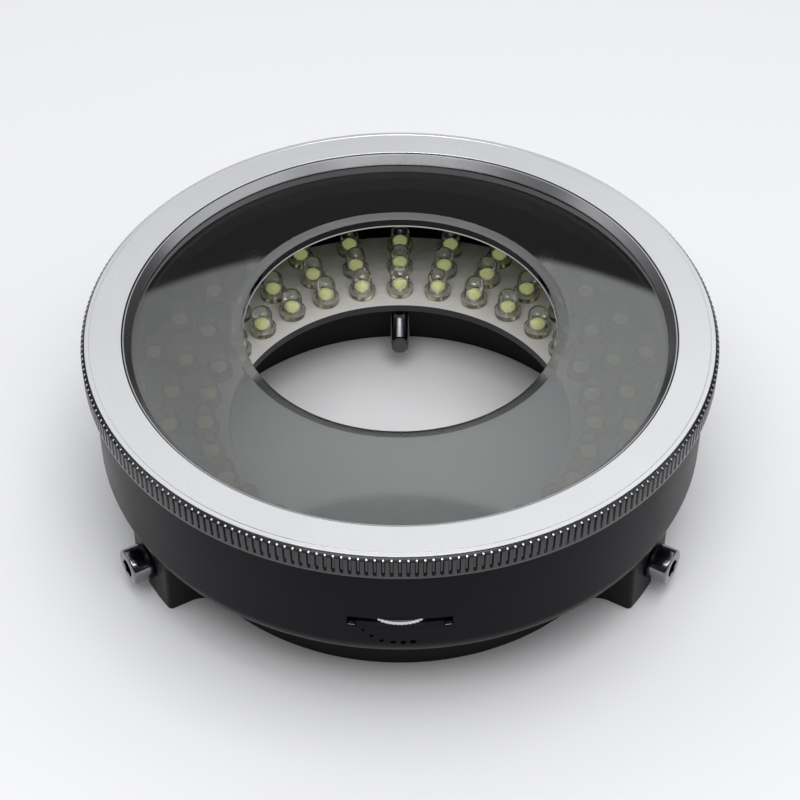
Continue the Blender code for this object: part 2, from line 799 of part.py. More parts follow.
def make_dimmer_works(axis):
    """The potentiometer over the wheel, and the small board that carries it."""
    low = wheel_top_z + POT_GAP
    size = (POT_WIDTH, POT_DEPTH, pot_height)
    centre = (0.0, against_wall(POT_WIDTH, POT_DEPTH), low + pot_height / 2)
    pot = box("dimmer_potentiometer", size, centre, "black_plastic")
    hole_r = STUB_R + SCREW_FIT
    hole_high = wheel_top_z + STUB_LENGTH + SCREW_FIT - wheel_z
    profile = [(0.0, hole_high), (hole_r, hole_high), (hole_r, 0.0), (0.0, 0.0)]
    cut(pot, turned("pot_bore", profile, SMALL_SEGMENTS, closed=False, parent=axis))
    board_low = low + pot_height + SEAT_GAP
    board_size = (DIMMER_BOARD_WIDTH, DIMMER_BOARD_DEPTH, dimmer_board_thickness)
    board_y = against_wall(DIMMER_BOARD_WIDTH, DIMMER_BOARD_DEPTH)
    board_centre = (0.0, board_y, board_low + dimmer_board_thickness / 2)
    box("dimmer_board", board_size, board_centre, "green_board")


def make_socket(housing):
    """The round power inlet and its centre pin, on a radial axis."""
    axis = radial_frame("socket_axis", SOCKET_AZIMUTH, socket_z)
    mouth = HOUSING_R - SOCKET_SINK
    end = mouth - SOCKET_LENGTH
    bore_end = mouth - SOCKET_BORE_DEPTH
    body = [
        (socket_r, mouth),
        (socket_r, end),
        (PIN_R + SCREW_FIT, end),
        (PIN_R + SCREW_FIT, bore_end),
        (socket_r * SOCKET_BORE_SHARE, bore_end),
        (socket_r * SOCKET_BORE_SHARE, mouth),
    ]
    turned("power_socket", body, SCREW_SEGMENTS, "black_plastic", parent=axis)
    pin_end = bore_end + PIN_REACH
    pin = [(0.0, pin_end), (PIN_R, pin_end), (PIN_R, end), (0.0, end)]
    turned("power_socket_pin", pin, SMALL_SEGMENTS, "dimmer_metal", closed=False, parent=axis)
    hole_r = socket_r + SOCKET_FIT
    hole = [
        (0.0, HOUSING_R + CUT_OVERRUN),
        (hole_r, HOUSING_R + CUT_OVERRUN),
        (hole_r, housing_inner_r - CUT_OVERRUN),
        (0.0, housing_inner_r - CUT_OVERRUN),
    ]
    cut(housing, turned("socket_hole", hole, SCREW_SEGMENTS, closed=False, parent=axis))


def main():
    housing = make_housing()
    collar = make_collar()
    board = make_led_board()
    make_leds()
    make_glide_ring()

    polariser_axis = axis_empty("polariser_axis", (0.0, 0.0, 0.0))
    make_knurled_ring(polariser_axis)
    make_snap_ring(polariser_axis)
    make_bezel(polariser_axis)
    make_retainer(polariser_axis)
    make_window(polariser_axis)

    for side, azimuth in CLAMP_AZIMUTHS.items():
        make_clamp(side, azimuth, collar)
        make_base_screw(side, azimuth, housing, collar)
    for side, azimuth in BOARD_SCREW_AZIMUTHS.items():
        make_board_screw(side, azimuth, housing, board)
    make_slot(housing)
    make_dimmer_works(make_wheel())
    make_socket(housing)


main()
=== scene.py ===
import math

import bpy
from mathutils import Matrix, Vector


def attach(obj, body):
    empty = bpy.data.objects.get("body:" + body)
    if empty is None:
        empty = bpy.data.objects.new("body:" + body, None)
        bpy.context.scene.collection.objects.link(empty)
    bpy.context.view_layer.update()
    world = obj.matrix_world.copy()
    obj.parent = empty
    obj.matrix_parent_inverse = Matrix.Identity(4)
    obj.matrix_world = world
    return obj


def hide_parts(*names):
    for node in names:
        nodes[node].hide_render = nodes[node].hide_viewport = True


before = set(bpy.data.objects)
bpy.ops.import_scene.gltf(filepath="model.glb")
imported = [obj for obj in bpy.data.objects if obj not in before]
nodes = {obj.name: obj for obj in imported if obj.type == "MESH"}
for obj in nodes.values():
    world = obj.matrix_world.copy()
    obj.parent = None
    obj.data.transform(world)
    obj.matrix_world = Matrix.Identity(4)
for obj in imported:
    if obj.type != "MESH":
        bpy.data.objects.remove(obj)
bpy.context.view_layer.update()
mm = 0.001  # every length in the dictionaries is in millimetres
print("frame loaded:", len(nodes), "solids")

# camera at the photograph's angle, then the floor and the lights

camera = {
    "place": (0.0, -218.9, 228.7), "forward": (0.0, 0.7194, -0.6946),
    "lens": 92.2, "sensor": 36, "clipStart": 10,
}
floor = {"size": 7000, "z": -0.05, "colour": (0.80, 0.80, 0.81), "roughness": 0.9, "specular": 0.1}
sky = {"low": 0.07, "high": 0.62, "lowSine": 0.48, "highSine": 0.88, "tint": (0.97, 0.985, 1.0)}
# pale screens in the sky, in degrees, with azimuth from +Y towards +X;
# each screen's level rises by its own slopes towards the east and upwards
screens = {
    "back": {
        "azimuth": 10, "half": 34, "sideSoft": 10, "low": 31.5, "high": 64, "soft": 1.5,
        "level": 0.33, "eastward": 0.46, "upward": 0.85,
    },
    "left": {
        "azimuth": -66, "half": 36, "sideSoft": 6, "low": 20, "high": 62, "soft": 5,
        "level": 0.92, "eastward": 0, "upward": 0,
    },
    "right": {
        "azimuth": 105, "half": 27, "sideSoft": 6, "low": 14, "high": 48, "soft": 6,
        "level": 0.90, "eastward": 0, "upward": 0,
    },
}
lamps = {  # the top lamp doesn't show in the bezel and the window
    "topLamp": {
        "aim": (120, 85), "distance": 700, "size": (360, 360), "watts": 1.6, "mirrored": False,
    },
    "frontLamp": {
        "aim": (180, 62), "distance": 700, "size": (560, 240), "watts": 1.9, "mirrored": True,
    },
}


def pick(settings, *keys):
    return [settings[key] for key in keys]


def makeCamera():
    data = bpy.data.cameras.new("photoCamera")
    data.lens = camera["lens"]
    data.sensor_width = camera["sensor"]
    data.clip_start = camera["clipStart"] * mm
    cameraObject = bpy.data.objects.new("photoCamera", data)
    bpy.context.scene.collection.objects.link(cameraObject)
    cameraObject.location = Vector(camera["place"]) * mm
    cameraObject.rotation_euler = Vector(camera["forward"]).to_track_quat("-Z", "Y").to_euler()
    bpy.context.scene.camera = cameraObject


def makeLamp(name, settings):
    azimuth, elevation = [math.radians(angle) for angle in settings["aim"]]
    flat = math.cos(elevation)
    outward = Vector((math.sin(azimuth) * flat, math.cos(azimuth) * flat, math.sin(elevation)))
    lamp = bpy.data.lights.new(name, "AREA")
    lamp.shape = "RECTANGLE"
    lamp.size, lamp.size_y = [side * mm for side in settings["size"]]
    lamp.energy = settings["watts"]
    lampObject = bpy.data.objects.new(name, lamp)
    bpy.context.scene.collection.objects.link(lampObject)
    lampObject.location = outward * settings["distance"] * mm
    lampObject.rotation_euler = (-outward).to_track_quat("-Z", "Y").to_euler()
    lampObject.visible_glossy = settings["mirrored"]
    lampObject.visible_transmission = settings["mirrored"]


def feed(tree, socket, value):
    # a number or a colour is set on the socket, and another node's output is linked to it
    if isinstance(value, (int, float)):
        socket.default_value = value
    elif isinstance(value, tuple):
        socket.default_value = (*value, 1.0)
    elif value is not None:
        tree.links.new(value, socket)


def addMath(tree, operation, first, second=None):
    node = tree.nodes.new("ShaderNodeMath")
    node.operation = operation
    feed(tree, node.inputs[0], first)
    feed(tree, node.inputs[1], second)
    return node.outputs[0]


def plus(tree, first, second):
    return addMath(tree, "ADD", first, second)


def minus(tree, first, second):
    return addMath(tree, "SUBTRACT", first, second)


def times(tree, first, second):
    return addMath(tree, "MULTIPLY", first, second)


def addRange(tree, value, low, high, toLow, toHigh, smooth=False):
    node = tree.nodes.new("ShaderNodeMapRange")
    node.interpolation_type = "SMOOTHSTEP" if smooth else "LINEAR"
    for socket, item in zip(node.inputs, (value, low, high, toLow, toHigh)):
        feed(tree, socket, item)
    return node.outputs["Result"]


def setSockets(node, values):
    for socketName, value in values.items():
        node.inputs[socketName].default_value = value


def makeSky():
    world = bpy.data.worlds.new("studio")
    bpy.context.scene.world = world
    world.use_nodes = True
    tree = world.node_tree
    split = tree.nodes.new("ShaderNodeSeparateXYZ")
    where = tree.nodes.new("ShaderNodeTexCoord").outputs["Generated"]
    tree.links.new(where, split.inputs["Vector"])
    east, north, up = split.outputs
    justOverOne = 1.0001  # keeps the root above zero at the top of the sky
    flat = addMath(tree, "SQRT", minus(tree, justOverOne, times(tree, up, up)))
    level = addRange(tree, up, sky["lowSine"], sky["highSine"], sky["low"], sky["high"], True)
    for screen in screens.values():
        angle, half, sideSoft, low, high, soft = [math.radians(value) for value in pick(
            screen, "azimuth", "half", "sideSoft", "low", "high", "soft")]
        along = plus(tree, times(tree, east, math.sin(angle)), times(tree, north, math.cos(angle)))
        across = addRange(tree, addMath(tree, "DIVIDE", along, flat),
                          math.cos(half + sideSoft), math.cos(half), 0.0, 1.0, True)
        above, below = [
            addRange(tree, up, math.sin(edge - soft / 2), math.sin(edge + soft / 2), *ends, True)
            for edge, ends in ((low, (0.0, 1.0)), (high, (1.0, 0.0)))]
        mask = times(tree, across, times(tree, above, below))
        slope = plus(tree, times(tree, east, screen["eastward"]), times(tree, up, screen["upward"]))
        own = plus(tree, slope, screen["level"])
        level = plus(tree, level, times(tree, mask, minus(tree, own, level)))
    background = tree.nodes["Background"]
    tree.links.new(level, background.inputs["Strength"])
    background.inputs["Color"].default_value = (*sky["tint"], 1.0)


def makeFloor():
    bpy.ops.object.select_all(action="DESELECT")
    bpy.ops.mesh.primitive_plane_add(size=floor["size"] * mm, location=(0, 0, floor["z"] * mm))
    plane = bpy.context.object
    plane.name = "studioFloor"
    paper = bpy.data.materials.new("floorPaper")
    paper.use_nodes = True
    setSockets(paper.node_tree.nodes["Principled BSDF"], {
        "Base Color": (*floor["colour"], 1.0), "Roughness": floor["roughness"],
        "Specular IOR Level": floor["specular"]})
    plane.data.materials.append(paper)


bpy.context.scene.view_settings.view_transform = "Standard"
makeCamera()
for lampName, lampSettings in lamps.items():
    makeLamp(lampName, lampSettings)
makeSky()
makeFloor()
print("camera, lights and floor ready")

# shared shader groups: each takes a vector and numbers, and puts out only maps

noiseSpan = (0.35, 0.65)  # where most values of a noise lie
grainMix = {"grain": 0.35, "patch": 0.65}
latheMix = {"fine": 0.5, "broad": 0.5}
specks = {
    "edge": (0.05, 0.16), "areaScale": 260.0, "area": (0.56, 0.72), "colour": (0.30, 0.29, 0.28),
}


def makeGroup(name, numbers, outputs):
    tree = bpy.data.node_groups.new(name, "ShaderNodeTree")
    tree.interface.new_socket("Vector", in_out="INPUT", socket_type="NodeSocketVector")
    for socketName, value in numbers.items():
        socket = tree.interface.new_socket(
            socketName, in_out="INPUT", socket_type="NodeSocketFloat")
        socket.default_value = value
    for socketName in outputs:
        tree.interface.new_socket(socketName, in_out="OUTPUT", socket_type="NodeSocketFloat")
    return tree, tree.nodes.new("NodeGroupInput").outputs, tree.nodes.new("NodeGroupOutput").inputs


def addNoise(tree, vector, scale, detail):
    node = tree.nodes.new("ShaderNodeTexNoise")
    setSockets(node, {"Detail": detail, "Roughness": 0.55})
    feed(tree, node.inputs["Vector"], vector)
    feed(tree, node.inputs["Scale"], scale)
    return node.outputs["Fac"]


def makeGrainGroup():
    # blasted or moulded grain with slow patches of gloss
    tree, given, result = makeGroup(
        "surfaceGrain", {"Grain Scale": 6000.0, "Patch Scale": 90.0, "Smooth": 0.3, "Rough": 0.5},
        ("Height", "Roughness", "Patch"))
    grain = addNoise(tree, given["Vector"], given["Grain Scale"], 2.0)
    patch = addNoise(tree, given["Vector"], given["Patch Scale"], 4.0)
    mixed = plus(tree, times(tree, grain, grainMix["grain"]), times(tree, patch, grainMix["patch"]))
    rough = addRange(tree, mixed, *noiseSpan, given["Smooth"], given["Rough"])
    tree.links.new(grain, result["Height"])
    tree.links.new(rough, result["Roughness"])
    tree.links.new(patch, result["Patch"])
    return tree


def addRadius(tree, vector):
    # distance from the Z axis, and height
    split = tree.nodes.new("ShaderNodeSeparateXYZ")
    tree.links.new(vector, split.inputs["Vector"])
    across, along, height = split.outputs
    square = plus(tree, times(tree, across, across), times(tree, along, along))
    return addMath(tree, "SQRT", square), height


def makeLatheGroup():
    # fine lines that a lathe leaves round the piece's own axis
    tree, given, result = makeGroup(
        "latheMarks", {"Line Scale": 9000.0, "Broad Scale": 900.0}, ("Height", "Streak"))
    radius, height = addRadius(tree, given["Vector"])
    across = tree.nodes.new("ShaderNodeCombineXYZ")
    tree.links.new(radius, across.inputs["X"])
    tree.links.new(height, across.inputs["Y"])
    fine = addNoise(tree, across.outputs["Vector"], given["Line Scale"], 2.0)
    broad = addNoise(tree, across.outputs["Vector"], given["Broad Scale"], 2.0)
    tree.links.new(fine, result["Height"])
    streak = plus(tree, times(tree, fine, latheMix["fine"]), times(tree, broad, latheMix["broad"]))
    tree.links.new(streak, result["Streak"])
    return tree


def makeDustGroup():
    # pale specks, only in some areas of the surface
    tree, given, result = makeGroup(
        "dustSpecks", {"Speck Scale": 1500.0, "Amount": 0.2}, ("Mask",))
    cells = tree.nodes.new("ShaderNodeTexVoronoi")
    tree.links.new(given["Vector"], cells.inputs["Vector"])
    tree.links.new(given["Speck Scale"], cells.inputs["Scale"])
    speck = addRange(tree, cells.outputs["Distance"], *specks["edge"], 1.0, 0.0)
    area = addNoise(tree, given["Vector"], specks["areaScale"], 3.0)
    thin = addRange(tree, area, *specks["area"], 0.0, 1.0)
    tree.links.new(times(tree, times(tree, speck, thin), given["Amount"]), result["Mask"])
    return tree


grainGroup = makeGrainGroup()
latheGroup = makeLatheGroup()
dustGroup = makeDustGroup()

# materials

glassLook = {  # the hard coat gives the strong reflection; radii bound the hole's wall and ledge, and the ledge's grey glow is a painted highlight
    "body": (0.17, 0.175, 0.175), "tints": ((0.16, 0.165, 0.165), (0.19, 0.195, 0.19)),
    "ior": 1.5, "coatIor": 1.9, "coatRough": 0.02,
    "wallR": (22.62, 22.65), "wallTint": (0.002, 0.002, 0.002),
    "ledgeR": (22.55, 22.57), "ledgeRough": 0.45, "ledgePaintedHighlight": (0.34, 0.34, 0.34),
}
resinLook = {  # painted shade: each clear bulb's outline, where its front surface turns away, is painted dark, standing in for the dark view its edge bends in
    "body": (0.97, 0.98, 0.95), "clear": (1.0, 1.0, 0.99), "outline": (0.05, 0.05, 0.045),
    "facing": (0.42, 0.58), "ior": 1.16, "coatIor": 1.95,
}
boardLook = {  # pale solder mask, its copper rings showing a little through it
    "body": (0.86, 0.83, 0.81), "mask": ((0.88, 0.85, 0.835), (0.83, 0.80, 0.785)),
    "trackR": (28.9, 34.25, 39.6), "trackEdge": (0.5, 0.6), "track": (0.72, 0.70, 0.64),
    "trackShare": 0.3, "cutR": (25.42, 25.45), "cutEdge": (0.022, 0.024, 0.022),
    "trackRise": 0.8, "grainRise": 0.12, "depth": 0.03, "strength": 0.6,
}
# painted light: a faint emission that makes the phosphor drops glow
phosphorPaintedLight = {"colour": (0.80, 0.86, 0.36), "strength": 0.22}


def startMaterial(name, colour, metallic=0.0):
    made = bpy.data.materials.new(name)
    made.use_nodes = True
    tree = made.node_tree
    shader = tree.nodes["Principled BSDF"]
    setSockets(shader, {"Base Color": (*colour, 1.0), "Metallic": metallic})
    where = tree.nodes.new("ShaderNodeTexCoord")
    return made, tree, shader, where.outputs["Object"]


def placeGroup(tree, group, vector, values):
    node = tree.nodes.new("ShaderNodeGroup")
    node.node_tree = group
    tree.links.new(vector, node.inputs["Vector"])
    setSockets(node, values)
    return node.outputs


def placeGrain(tree, vector, grainScale, patchScale, smooth, rough):
    return placeGroup(tree, grainGroup, vector, {
        "Grain Scale": grainScale, "Patch Scale": patchScale, "Smooth": smooth, "Rough": rough})


def addBump(tree, shader, height, distance, strength):
    bump = tree.nodes.new("ShaderNodeBump")
    setSockets(bump, {"Distance": distance * mm, "Strength": strength})
    tree.links.new(height, bump.inputs["Height"])
    tree.links.new(bump.outputs["Normal"], shader.inputs["Normal"])


def blendColours(tree, mask, first, second):
    mix = tree.nodes.new("ShaderNodeMixRGB")
    for socketName, value in (("Fac", mask), ("Color1", first), ("Color2", second)):
        feed(tree, mix.inputs[socketName], value)
    return mix.outputs["Color"]


def insideRadius(tree, radius, edges):
    # 1 inside the first radius, 0 outside the second
    return addRange(tree, radius, edges[0] * mm, edges[1] * mm, 1.0, 0.0)


def makeGrained(name, colour, second, smooth, rough, metallic=0.0, grainScale=6000.0,
                patchScale=90.0, dust=0.0, specular=0.5):
    made, tree, shader, where = startMaterial(name, colour, metallic)
    grain = placeGrain(tree, where, grainScale, patchScale, smooth, rough)
    patches = addRange(tree, grain["Patch"], *noiseSpan, 0.0, 1.0)
    tint = blendColours(tree, patches, colour, second)
    if dust:
        dusty = placeGroup(tree, dustGroup, where, {"Amount": dust})
        tint = blendColours(tree, dusty["Mask"], tint, specks["colour"])
    tree.links.new(tint, shader.inputs["Base Color"])
    tree.links.new(grain["Roughness"], shader.inputs["Roughness"])
    shader.inputs["Specular IOR Level"].default_value = specular
    addBump(tree, shader, grain["Height"], 0.004, 0.35)
    return made


def makeTurnedMetal(name, colour, second, smooth, rough, lineScale=9000.0, depth=0.003,
                    centre=(0.0, 0.0, 0.0), turn=(0.0, 0.0, 0.0)):
    made, tree, shader, where = startMaterial(name, colour, 1.0)
    mapping = tree.nodes.new("ShaderNodeMapping")
    mapping.vector_type = "TEXTURE"  # takes the pattern to the piece's own axis
    setSockets(mapping, {"Location": Vector(centre) * mm, "Rotation": turn})
    tree.links.new(where, mapping.inputs["Vector"])
    lathe = placeGroup(tree, latheGroup, mapping.outputs["Vector"], {"Line Scale": lineScale})
    grain = placeGrain(tree, where, 9000.0, 70.0, smooth, rough)
    tint = blendColours(tree, lathe["Streak"], colour, second)
    tree.links.new(tint, shader.inputs["Base Color"])
    tree.links.new(grain["Roughness"], shader.inputs["Roughness"])
    addBump(tree, shader, lathe["Height"], depth, 0.3)
    return made


def makeWindowGlass():
    # grey polarising film between clear faces; the ground ledge of its hole is rougher, and a
    # painted highlight makes it glow as a thin light line
    made, tree, shader, where = startMaterial("smokedGlass", glassLook["body"])
    setSockets(shader, {
        "Transmission Weight": 1.0, "IOR": glassLook["ior"], "Coat IOR": glassLook["coatIor"],
        "Coat Roughness": glassLook["coatRough"], "Emission Strength": 1.0})
    grain = placeGrain(tree, where, 1200.0, 60.0, 0.01, 0.04)
    radius = addRadius(tree, where)[0]
    wall = insideRadius(tree, radius, glassLook["wallR"])
    ledge = insideRadius(tree, radius, glassLook["ledgeR"])
    ground = times(tree, ledge, glassLook["ledgeRough"])
    tint = blendColours(tree, grain["Patch"], *glassLook["tints"])
    maps = {
        "Base Color": blendColours(tree, wall, tint, glassLook["wallTint"]),
        "Roughness": addMath(tree, "MAXIMUM", grain["Roughness"], ground),
        "Coat Weight": minus(tree, 1.0, wall),
        # painted highlight: a grey emission on the ledge draws a light line round the hole
        "Emission Color": blendColours(tree, ledge, (0.0, 0.0, 0.0), glassLook["ledgePaintedHighlight"]),
    }
    for socketName, value in maps.items():
        tree.links.new(value, shader.inputs[socketName])
    return made


def makeClearResin():
    made, tree, shader, where = startMaterial("clearResin", resinLook["body"])
    # painted shade: the base colour darkens towards the outline of the front faces
    facing = tree.nodes.new("ShaderNodeLayerWeight").outputs["Facing"]
    outline = addRange(tree, facing, *resinLook["facing"], 0.0, 1.0, True)
    backfacing = tree.nodes.new("ShaderNodeNewGeometry").outputs["Backfacing"]
    paintedRimShade = times(tree, outline, minus(tree, 1.0, backfacing))
    tint = blendColours(tree, paintedRimShade, resinLook["clear"], resinLook["outline"])
    tree.links.new(tint, shader.inputs["Base Color"])
    setSockets(shader, {
        "Transmission Weight": 1.0, "IOR": resinLook["ior"],
        "Coat Weight": 1.0, "Coat IOR": resinLook["coatIor"]})
    grain = placeGrain(tree, where, 2500.0, 240.0, 0.0, 0.04)
    tree.links.new(grain["Roughness"], shader.inputs["Roughness"])
    return made


def makeBoardFinish():
    made, tree, shader, where = startMaterial("paleBoard", boardLook["body"])
    radius = addRadius(tree, where)[0]
    tracks = None
    for trackR in boardLook["trackR"]:
        away = addMath(tree, "ABSOLUTE", minus(tree, radius, trackR * mm))
        band = insideRadius(tree, away, boardLook["trackEdge"])
        tracks = band if tracks is None else addMath(tree, "MAXIMUM", tracks, band)
    grain = placeGrain(tree, where, 4000.0, 160.0, 0.38, 0.55)
    tint = blendColours(tree, grain["Patch"], *boardLook["mask"])
    shown = times(tree, tracks, boardLook["trackShare"])
    tint = blendColours(tree, shown, tint, boardLook["track"])
    cutEdge = insideRadius(tree, radius, boardLook["cutR"])
    tint = blendColours(tree, cutEdge, tint, boardLook["cutEdge"])
    tree.links.new(tint, shader.inputs["Base Color"])
    tree.links.new(grain["Roughness"], shader.inputs["Roughness"])
    relief = plus(tree, times(tree, tracks, boardLook["trackRise"]),
                  times(tree, grain["Height"], boardLook["grainRise"]))
    addBump(tree, shader, relief, boardLook["depth"], boardLook["strength"])
    return made


blackAnodised = makeGrained(
    "blackAnodised", (0.0036, 0.0041, 0.0058), (0.0048, 0.0053, 0.0072), 0.28, 0.38,
    grainScale=7000.0, dust=0.05, specular=0.075)
blackKnurl = makeGrained(
    "blackKnurl", (0.0090, 0.0092, 0.0115), (0.0120, 0.0120, 0.0145), 0.18, 0.26,
    grainScale=8000.0, specular=0.65)
blackCollar = makeGrained(
    "blackCollar", (0.0032, 0.0033, 0.0042), (0.0044, 0.0045, 0.0056), 0.40, 0.52,
    dust=0.05, specular=0.25)
bareMetal = makeGrained(
    "bareMetal", (0.90, 0.90, 0.91), (0.84, 0.84, 0.85), 0.22, 0.34, 1.0, grainScale=9000.0)
satinSilver = makeTurnedMetal(
    "satinSilver", (0.85, 0.85, 0.865), (0.89, 0.89, 0.90), 0.26, 0.32, depth=0.0007)
polishedRim = makeTurnedMetal(
    "polishedRim", (0.46, 0.46, 0.47), (0.52, 0.52, 0.53), 0.26, 0.34, depth=0.0015)
smokedGlass = makeWindowGlass()
clearResin = makeClearResin()
paleBoard = makeBoardFinish()
phosphor = makeGrained(
    "phosphor", (0.78, 0.83, 0.34), (0.84, 0.87, 0.46), 0.5, 0.7,
    grainScale=9000.0, patchScale=900.0)
# painted light: the phosphor glows a little, though nothing lights it from inside
setSockets(phosphor.node_tree.nodes["Principled BSDF"], {
    "Emission Color": (*phosphorPaintedLight["colour"], 1.0),
    "Emission Strength": phosphorPaintedLight["strength"]})
plainMetal = makeGrained(
    "plainMetal", (0.74, 0.73, 0.70), (0.66, 0.65, 0.62), 0.18, 0.30, 1.0, patchScale=500.0)
tipPlastic = makeGrained(
    "tipPlastic", (0.060, 0.060, 0.062), (0.085, 0.085, 0.086), 0.45, 0.6)
mouldedBlack = makeGrained(
    "mouldedBlack", (0.010, 0.010, 0.011), (0.014, 0.014, 0.015), 0.35, 0.5, dust=0.05)
glidePlastic = makeGrained(
    "glidePlastic", (0.020, 0.020, 0.021), (0.026, 0.026, 0.027), 0.5, 0.65)
greenBoard = makeGrained(
    "greenBoard", (0.018, 0.11, 0.045), (0.024, 0.14, 0.060), 0.3, 0.45, patchScale=300.0)
springWire = makeTurnedMetal("springWire", (0.40, 0.40, 0.42), (0.50, 0.50, 0.51), 0.25, 0.35)
print("materials ready")

# modelling steps that several pieces share


def setMode(mode):
    bpy.ops.object.mode_set(mode=mode)


def selectNothing():
    if bpy.context.mode != "OBJECT":
        setMode("OBJECT")
    bpy.ops.object.select_all(action="DESELECT")


def selectOnly(piece):
    selectNothing()
    piece.select_set(True)
    bpy.context.view_layer.objects.active = piece


def dropPieces(*pieces):
    for piece in pieces:
        bpy.data.objects.remove(piece, do_unlink=True)


def roundCorners(corners, steps=3):
    # corners are (across, up, radius); each is swapped for a short arc
    points = []
    for index, (across, up, radius) in enumerate(corners):
        here = Vector((across, up))
        if not radius:
            points.append((across, up))
            continue
        back = (Vector(corners[index - 1][:2]) - here).normalized()
        ahead = (Vector(corners[(index + 1) % len(corners)][:2]) - here).normalized()
        half = back.angle(ahead) / 2
        centre = here + (back + ahead).normalized() * (radius / math.sin(half))
        start = here + back * (radius / math.tan(half)) - centre
        end = here + ahead * (radius / math.tan(half)) - centre
        for step in range(steps + 1):
            points.append(tuple(centre + start.lerp(end, step / steps).normalized() * radius))
    return points


def drawLoop(name, points):
    # a circle whose vertices are moved onto the given points
    selectNothing()
    bpy.ops.mesh.primitive_circle_add(vertices=len(points), radius=10 * mm)
    piece = bpy.context.object
    piece.name = name
    for vertex, point in zip(piece.data.vertices, points):
        vertex.co = Vector(point) * mm
    return piece


def drawSection(name, points):
    return drawLoop(name, [(across, 0, up) for across, up in points])


def tidyMesh(distance=0.002):
    bpy.ops.mesh.select_all(action="SELECT")
    bpy.ops.mesh.remove_doubles(threshold=distance * mm)
    bpy.ops.mesh.normals_make_consistent(inside=False)
    setMode("OBJECT")


def deleteEdges(piece, isUnwanted):
    # isUnwanted is given the two ends of each edge
    setMode("EDIT")
    bpy.ops.mesh.select_mode(type="EDGE")
    bpy.ops.mesh.select_all(action="DESELECT")
    setMode("OBJECT")
    for edge in piece.data.edges:
        edge.select = isUnwanted(*[piece.data.vertices[index].co for index in edge.vertices])
    setMode("EDIT")
    bpy.ops.mesh.delete(type="EDGE_FACE")
    setMode("OBJECT")


def spinAll(steps, angle, copies=False):
    setMode("EDIT")
    bpy.ops.mesh.select_all(action="SELECT")
    bpy.ops.mesh.spin(
        steps=steps, dupli=copies, angle=angle, center=(0, 0, 0), axis=(0, 0, 1))


def turnPiece(name, corners, steps=256, axisEnds=False, rounding=3):
    piece = drawSection(name, roundCorners(corners, rounding))
    if axisEnds:  # the edge along the axis goes, so that only the surface turns
        hair = 1e-9
        deleteEdges(piece, lambda first, second: max(abs(first.x), abs(second.x)) < hair)
    spinAll(steps, math.tau)
    tidyMesh()
    return piece


def applyModifier(piece, kind, **values):
    selectOnly(piece)
    modifier = piece.modifiers.new(kind.lower(), kind)
    for key, value in values.items():
        setattr(modifier, key, value)
    bpy.ops.object.modifier_apply(modifier=modifier.name)
    return piece


def smoothPiece(piece, degrees=32, flatFaces=True):
    selectOnly(piece)
    bpy.ops.object.shade_smooth_by_angle(angle=math.radians(degrees))
    if flatFaces:  # so that a flat face beside a rounded edge stays flat
        applyModifier(piece, "WEIGHTED_NORMAL", keep_sharp=True, weight=50)
    return piece


def bevelPiece(piece, width, degrees=35):
    return applyModifier(piece, "BEVEL", width=width * mm, segments=2, limit_method="ANGLE",
                         angle_limit=math.radians(degrees), harden_normals=False)


def cutAway(piece, *cutters, operation="DIFFERENCE"):
    for cutter in cutters:
        applyModifier(piece, "BOOLEAN", operation=operation, solver="EXACT", object=cutter)
        dropPieces(cutter)
    return piece


def addBlock(name, size, centre, bevel=0.0):
    selectNothing()
    bpy.ops.mesh.primitive_cube_add(size=1)
    block = bpy.context.object
    block.name = name
    scale = Matrix.Diagonal((*[side * mm for side in size], 1))
    block.data.transform(Matrix.Translation(Vector(centre) * mm) @ scale)
    if bevel:
        bevelPiece(block, bevel)
    return block


def addPeg(name, radius, low, high, sides=48, topRadius=None):
    selectNothing()
    bpy.ops.mesh.primitive_cone_add(
        vertices=sides, radius1=radius * mm, depth=(high - low) * mm,
        radius2=(radius if topRadius is None else topRadius) * mm)
    peg = bpy.context.object
    peg.name = name
    peg.data.transform(Matrix.Translation((0, 0, (low + high) / 2 * mm)))
    return peg


def alongRadius(azimuth, height):
    # takes a piece made about Z to lie outwards along a radius
    return (Matrix.Translation((0, 0, height * mm))
            @ Matrix.Rotation(math.radians(azimuth), 4, "Z") @ Matrix.Rotation(math.pi / 2, 4, "Y"))


def roundAxis(angle, radius, height):
    return Matrix.Translation(
        (radius * mm * math.cos(angle), radius * mm * math.sin(angle), height * mm))


def movePiece(piece, matrix):
    piece.data.transform(matrix)
    piece.data.update()
    return piece


def joinPieces(name, pieces):
    selectNothing()
    for piece in pieces:
        piece.select_set(True)
    bpy.context.view_layer.objects.active = pieces[0]
    bpy.ops.object.join()
    pieces[0].name = name
    return pieces[0]


def copyPiece(piece, matrix, name=None):
    copied = piece.copy()
    copied.data = piece.data.copy()
    bpy.context.scene.collection.objects.link(copied)
    if name:
        copied.name = name
    return movePiece(copied, matrix)


def finishPiece(piece, material, body, slotName, *replaced):
    piece.data.materials.clear()
    piece.data.materials.append(material)
    for polygon in piece.data.polygons:
        polygon.material_index = 0
    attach(piece, body)
    if replaced:
        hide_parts(*replaced)
    return piece


# housing: cup with a rounded lower edge, dimmer slot, inlet hole and engraved level dots

housing = {
    "outerR": 44.4, "innerR": 42.75, "lipR": 42.25, "boreR": 27.0,
    "bottomZ": 11.2, "floorZ": 12.4, "lipZ": 27.9, "topZ": 29.0, "edgeR": 3.8, "boreEdge": 0.15,
    "slotWidth": 14.1, "slotLow": 18.15, "slotHigh": 19.95, "slotDeep": 6, "slotInset": 0.5,
    "slotEdge": 0.12, "inletR": 3.2, "inletCut": (40, 48),
    "dots": [  # (across, height, radius)
        (-4.9, 17.45, 0.24), (-3.8, 16.35, 0.28), (-2.5, 15.45, 0.32),
        (-0.9, 15.2, 0.36), (0.45, 15.15, 0.39), (1.75, 15.25, 0.42),
    ],
    "dotDepth": 0.35, "dotClear": 0.3,
}


